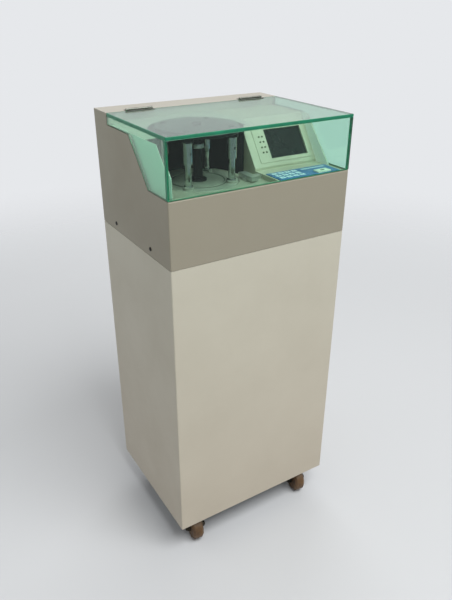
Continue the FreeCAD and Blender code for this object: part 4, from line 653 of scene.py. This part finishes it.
def paint_cheek_light(finish, cheek_x, colour):
    """Paints light on the faces at one place across the width: a paler tone in place of the light they get.
    """
    tree = finish.node_tree
    base = tree.nodes["Principled BSDF"].inputs["Base Color"]
    painted_light_on_cheek = reckon(tree, "COMPARE", own_axis(tree, "X"), cheek_x, cheek_reach)
    tree.links.new(blend_colours(tree, painted_light_on_cheek, base.links[0].from_socket, colour), base)


console_cheek_x = 0.2055
surround_cheek_x = -0.2075
cream = grained("cream_moulding", tone(181, 178, 158), tone(171, 168, 148), rough=(0.42, 0.55),
                grain=1200.0, mottle=12.0, depth=0.12)
# Both cheeks get painted light: paler tones in place of the light that falls on them behind the side sheets.
paint_cheek_light(cream, console_cheek_x, tone(246, 250, 244))
surround_cream = grained("surround_moulding", tone(172, 174, 160), tone(164, 166, 151), rough=(0.42, 0.55),
                         grain=1200.0, mottle=12.0, depth=0.12)
paint_cheek_light(surround_cream, surround_cheek_x, tone(222, 248, 232))
clamp_steel = brushed("clamp_steel", tone(214, 216, 210), tone(192, 194, 188), rough=(0.42, 0.54),
                      stretch=(1500.0, 40.0, 1500.0))
dress(cream, "console_housing")
dress(surround_cream, "bay_surround")
dress(black_moulding, "counting_hood")
dress(clamp_steel, "clamp_rail", "clamp_jaw")


# The console's fittings: a smoked window over the display, small lamps, a blue
# membrane keypad with embossed and printed keys, bonded on, and the large
# start key with a lens in it.


smoked = grained("smoked_window", tone(34, 37, 36), tone(28, 31, 30), rough=(0.10, 0.16),
                 grain=300.0, mottle=30.0, depth=0.01)
lamp_lens = grained("lamp_lens", tone(70, 78, 56), tone(54, 62, 44), rough=(0.12, 0.2),
                    grain=500.0, mottle=60.0, depth=0.03)
start_cap = grained("start_cap", tone(224, 225, 211), tone(214, 216, 200), rough=(0.35, 0.45),
                    grain=900.0, mottle=40.0, depth=0.06)
dress(smoked, "display_window")
dress(lamp_lens, "indicator_lamps")
dress(start_cap, "start_key")

field_top = 0.9217
key_side_top = 0.9219
membrane_reach = 0.0003
stripe_spans = (("X", 0.160, 0.032), ("Y", -0.119, 0.0038))
membrane, tree, shader = new_finish("keypad_membrane")
surface = place_effect(tree, grain_effect, Grain_Scale=1500.0, Mottle_Scale=60.0)
field = blend_colours(tree, surface["Mottle"], tone(54, 110, 164), tone(47, 100, 152))
within = [reckon(tree, "COMPARE", own_axis(tree, axis), middle, half) for axis, middle, half in stripe_spans]
field = blend_colours(tree, reckon(tree, "MULTIPLY", *within), field, tone(168, 192, 208))
raised = respan(tree, own_axis(tree, "Z"), From_Min=field_top, From_Max=key_side_top)
tree.links.new(blend_colours(tree, raised, field, tone(200, 216, 228)), shader.inputs["Base Color"])
vary_polish(tree, shader, surface["Mottle"], (0.34, 0.42))
raise_skin(tree, shader, surface["Height"], 0.08, membrane_reach)
dress(membrane, "keypad_panel")

key_ink = grained("key_ink", tone(34, 60, 92), tone(28, 52, 82), rough=(0.4, 0.5),
                  grain=1500.0, mottle=80.0, depth=0.04)
first_key_x = 0.0565
first_key_y = -0.15075
key_step_x = 0.017
key_step_y = 0.015
key_top = 0.92215
figure_size = 0.0072
ink_rise = 0.00008
figures = []
for row, marks in enumerate(("1230", "456-", "789+")):
    for column, mark in enumerate(marks):
        bpy.ops.object.select_all(action="DESELECT")
        bpy.ops.object.text_add()
        figure = bpy.context.object
        figure.data.body = mark
        figure.data.size = figure_size
        figure.data.extrude = ink_rise
        figure.data.align_x = "CENTER"
        figure.data.align_y = "CENTER"
        bpy.ops.object.convert(target="MESH")
        figure = bpy.context.object
        figure.location = (first_key_x + key_step_x * column, first_key_y + key_step_y * row, key_top)
        place_fixed()
        figures.append(figure)
for figure in figures:
    figure.select_set(True)
bpy.ops.object.join()
figure = bpy.context.object
figure.name = "key_figures"
figure.data.materials.clear()
figure.data.materials.append(key_ink)
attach(figure, "cabinet")

start_lens_place = (0.160, -0.1515, 0.9243)
set_out(eased_block(width=0.010, depth=0.005, height=0.0003, ease=0.0001),
        "start_key_lens", "start_button", lamp_lens,
        [(start_lens_place, upright_turn)])


# The cover: sheets of clear acrylic with a green tint, bonded at their edges
# and hung on two dull steel hinges, which are screwed to it and to the strip.


def mix_shaders(tree, factor, first, second, output):
    """Shows one shader or the other on the tree's output, by a mask."""
    mixed = add(tree, "MixShader")
    for socket, source in zip(mixed.inputs, (factor, first, second)):
        tree.links.new(source, socket)
    tree.links.new(mixed.outputs["Shader"], tree.nodes[output].inputs["Surface"])


def clear_acrylic(name, clearness, haze_tone, light_tone):
    """Clear sheet with a green tint in its depth, a polished skin and a slight haze in the sheet."""
    finish, tree, shader = new_finish(name, IOR=1.49, Transmission_Weight=clearness, Base_Color=haze_tone)
    surface = place_effect(tree, grain_effect, Grain_Scale=300.0, Mottle_Scale=22.0)
    vary_polish(tree, shader, surface["Mottle"], (0.01, 0.035))
    tint = add(tree, "VolumeAbsorption", Color=(0.06, 0.84, 0.56, 1.0), Density=40.0)
    clear = add(tree, "BsdfTransparent", Color=light_tone)
    path = add(tree, "LightPath")
    mix_shaders(tree, path.outputs["Is Shadow Ray"], shader.outputs["BSDF"], clear.outputs["BSDF"],
                "Material Output")
    tree.links.new(tint.outputs["Volume"], tree.nodes["Material Output"].inputs["Volume"])
    return finish


hinge_steel = brushed("dull_hinge_steel", tone(146, 148, 140), tone(112, 114, 108), rough=(0.34, 0.5),
                      stretch=(40.0, 1400.0, 1400.0))
sawn_edge = grained("sawn_green_edge", tone(28, 126, 92), tone(20, 108, 78), rough=(0.3, 0.45),
                    grain=900.0, mottle=60.0, depth=0.1)
glue_line = 0.0002
edge_chamfer = 0.0008
same_point = 0.000005
flat_limit = math.radians(1.0)


def cover_sheet(name, node, main_axis, finish, joints):
    """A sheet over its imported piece: broad faces clear, chamfered and sawn edges in a deeper green."""
    bpy.ops.object.select_all(action="DESELECT")
    sheet = bpy.data.objects.new(name, nodes[node].data.copy())
    bpy.context.scene.collection.objects.link(sheet)
    bpy.context.view_layer.objects.active = sheet
    sheet.select_set(True)
    bpy.ops.object.mode_set(mode="EDIT")
    bpy.ops.mesh.select_all(action="SELECT")
    bpy.ops.mesh.customdata_custom_splitnormals_clear()
    bpy.ops.mesh.remove_doubles(threshold=same_point)
    bpy.ops.mesh.dissolve_limited(angle_limit=flat_limit)
    bpy.ops.mesh.select_mode(type="FACE")
    for heading in joints:
        pick_facing(sheet, heading)
        bpy.ops.transform.translate(value=heading * -glue_line)
    bpy.ops.object.mode_set(mode="OBJECT")
    ease_edges(sheet, edge_chamfer, 1)
    bpy.ops.object.shade_flat()
    sheet.data.materials.clear()
    sheet.data.materials.append(finish)
    sheet.data.materials.append(sawn_edge)
    for face in sheet.data.polygons:
        face.material_index = 0 if abs(face.normal[main_axis]) > square_on else 1
    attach(sheet, "cover")
    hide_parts(node)


frontward = Vector((0.0, -1.0, 0.0))
pane_light = (0.755, 0.76, 0.755, 1.0)
side_light = (0.96, 1.0, 0.98, 1.0)
top_acrylic = clear_acrylic("top_acrylic", 0.97, (0.92, 0.88, 0.88, 1.0), pane_light)
cover_sheet("cover_top_sheet", "cover_top", 2, top_acrylic, ())
front_acrylic = clear_acrylic("front_acrylic", 1.0, (1.0, 1.0, 1.0, 1.0), pane_light)
cover_sheet("cover_front_sheet", "cover_front", 1, front_acrylic, (overhead,))
side_acrylic = clear_acrylic("side_acrylic", 0.93, (0.90, 1.0, 0.94, 1.0), side_light)
cover_sheet("cover_side_sheets", "cover_sides", 0, side_acrylic, (overhead, frontward))

dress(hinge_steel, "cover_hinge_fixed_leaves", "cover_hinge_moving_leaves")
dress(screw_black, "cover_hinge_pins")
leaf_top = 1.039
hinge_middle = 0.143
screw_pitch = 0.022
for name, body, depth in (("strip_hinge_screws", "cabinet", 0.1096), ("cover_hinge_screws", "cover", 0.0950)):
    set_out(cross_screw(radius=0.0022, height=0.0009), name, body, hinge_steel,
            [((side * hinge_middle + step * screw_pitch, depth, leaf_top), upright_turn)
             for side in (-1.0, 1.0) for step in (-1.0, 0.0, 1.0)])


# The studio: a pale floor that fades into a pale surround, with the dim end of
# the room behind the camera, one soft lamp in front with two weaker fills, and
# the photograph's camera.


floor_span = 12.0
fade_start = 1.2
fade_end = 3.2
bpy.ops.object.select_all(action="DESELECT")
bpy.ops.mesh.primitive_plane_add(size=floor_span, location=(0.0, 0.0, 0.0))
floor = bpy.context.object
floor.name = "studio_floor"
floor_finish, tree, shader = new_finish("studio_floor", Roughness=0.9, Base_Color=tone(192, 194, 196),
                                        Specular_IOR_Level=0.0)
fade = respan(tree, length_of(tree, own_place(tree)), smooth=True, From_Min=fade_start, From_Max=fade_end)
open_floor = add(tree, "BsdfTransparent")
mix_shaders(tree, fade, shader.outputs["BSDF"], open_floor.outputs["BSDF"], "Material Output")
floor.data.materials.append(floor_finish)

soft_strength = 0.46
first_bounce = 0.5
surround = bpy.data.worlds.new("studio_surround")
surround.use_nodes = True
bpy.context.scene.world = surround
tree = surround.node_tree
soft_light = tree.nodes["Background"]
set_sockets(soft_light, {"Color": (1.0, 1.0, 1.0, 1.0), "Strength": soft_strength})
backdrop = add(tree, "Background", Strength=1.0)
path = add(tree, "LightPath").outputs
seen = reckon(tree, "MAXIMUM", path["Is Camera Ray"], path["Is Glossy Ray"])
shown = reckon(tree, "MAXIMUM", seen, path["Is Transmission Ray"])
unscattered = reckon(tree, "LESS_THAN", path["Diffuse Depth"], first_bounce)
direct = reckon(tree, "MULTIPLY", shown, unscattered)
mix_shaders(tree, direct, soft_light.outputs["Background"], backdrop.outputs["Background"], "World Output")
heading = add(tree, "TexCoord")
split = add(tree, "SeparateXYZ")
tree.links.new(heading.outputs["Generated"], split.inputs["Vector"])
room = respan(tree, split.outputs["Y"], smooth=True, From_Min=-0.4, From_Max=0.75)
reflected = reckon(tree, "GREATER_THAN", path["Glossy Depth"], first_bounce)
mirrored_room = blend_colours(tree, room, tone(138, 140, 142), tone(205, 207, 208))
shown_room = blend_colours(tree, reflected, tone(230, 232, 235), mirrored_room)
tree.links.new(shown_room, backdrop.inputs["Color"])

lamp_aim = Vector((0.0, 0.0, 0.6))
lamp_aspect = 0.72
for name, watts, width, place in (("front_lamp", 196.0, 3.0, (0.5, -2.2, 4.2)),
                                  ("back_fill", 60.0, 3.0, (1.7, 2.9, 3.0)),
                                  ("left_fill", 1.5, 0.8, (-1.0, 0.5, 1.6))):
    lamp = bpy.data.lights.new(name, "AREA")
    lamp.shape = "RECTANGLE"
    lamp.size = width
    lamp.size_y = width * lamp_aspect
    lamp.energy = watts
    lamp_object = bpy.data.objects.new(name, lamp)
    bpy.context.scene.collection.objects.link(lamp_object)
    lamp_object.location = place
    lamp_object.visible_camera = False
    lamp_object.visible_transmission = False
    lamp_object.visible_glossy = name == "front_lamp"
    lamp_object.rotation_euler = (lamp_aim - Vector(place)).to_track_quat("-Z", "Y").to_euler()

camera_azimuth = math.radians(31.73)
camera_dip = math.radians(-27.39)
camera_roll = math.radians(0.13)
camera_place = Vector((-0.6812, -1.1237, 1.2651))
ahead = Vector((math.sin(camera_azimuth) * math.cos(camera_dip),
                math.cos(camera_azimuth) * math.cos(camera_dip), math.sin(camera_dip)))
across = ahead.cross(overhead).normalized()
upright = across.cross(ahead)
turned_across = across * math.cos(camera_roll) + upright * math.sin(camera_roll)
turned_up = upright * math.cos(camera_roll) - across * math.sin(camera_roll)
camera_data = bpy.data.cameras.new("camera")
camera_data.sensor_fit = "VERTICAL"
camera_data.sensor_height = 36.0
camera_data.lens = 35.83
camera = bpy.data.objects.new("camera", camera_data)
bpy.context.scene.collection.objects.link(camera)
pose = Matrix((turned_across, turned_up, -ahead)).transposed().to_4x4()
pose.translation = camera_place
camera.matrix_world = pose
bpy.context.scene.camera = camera
bpy.context.scene.view_settings.view_transform = "Standard"
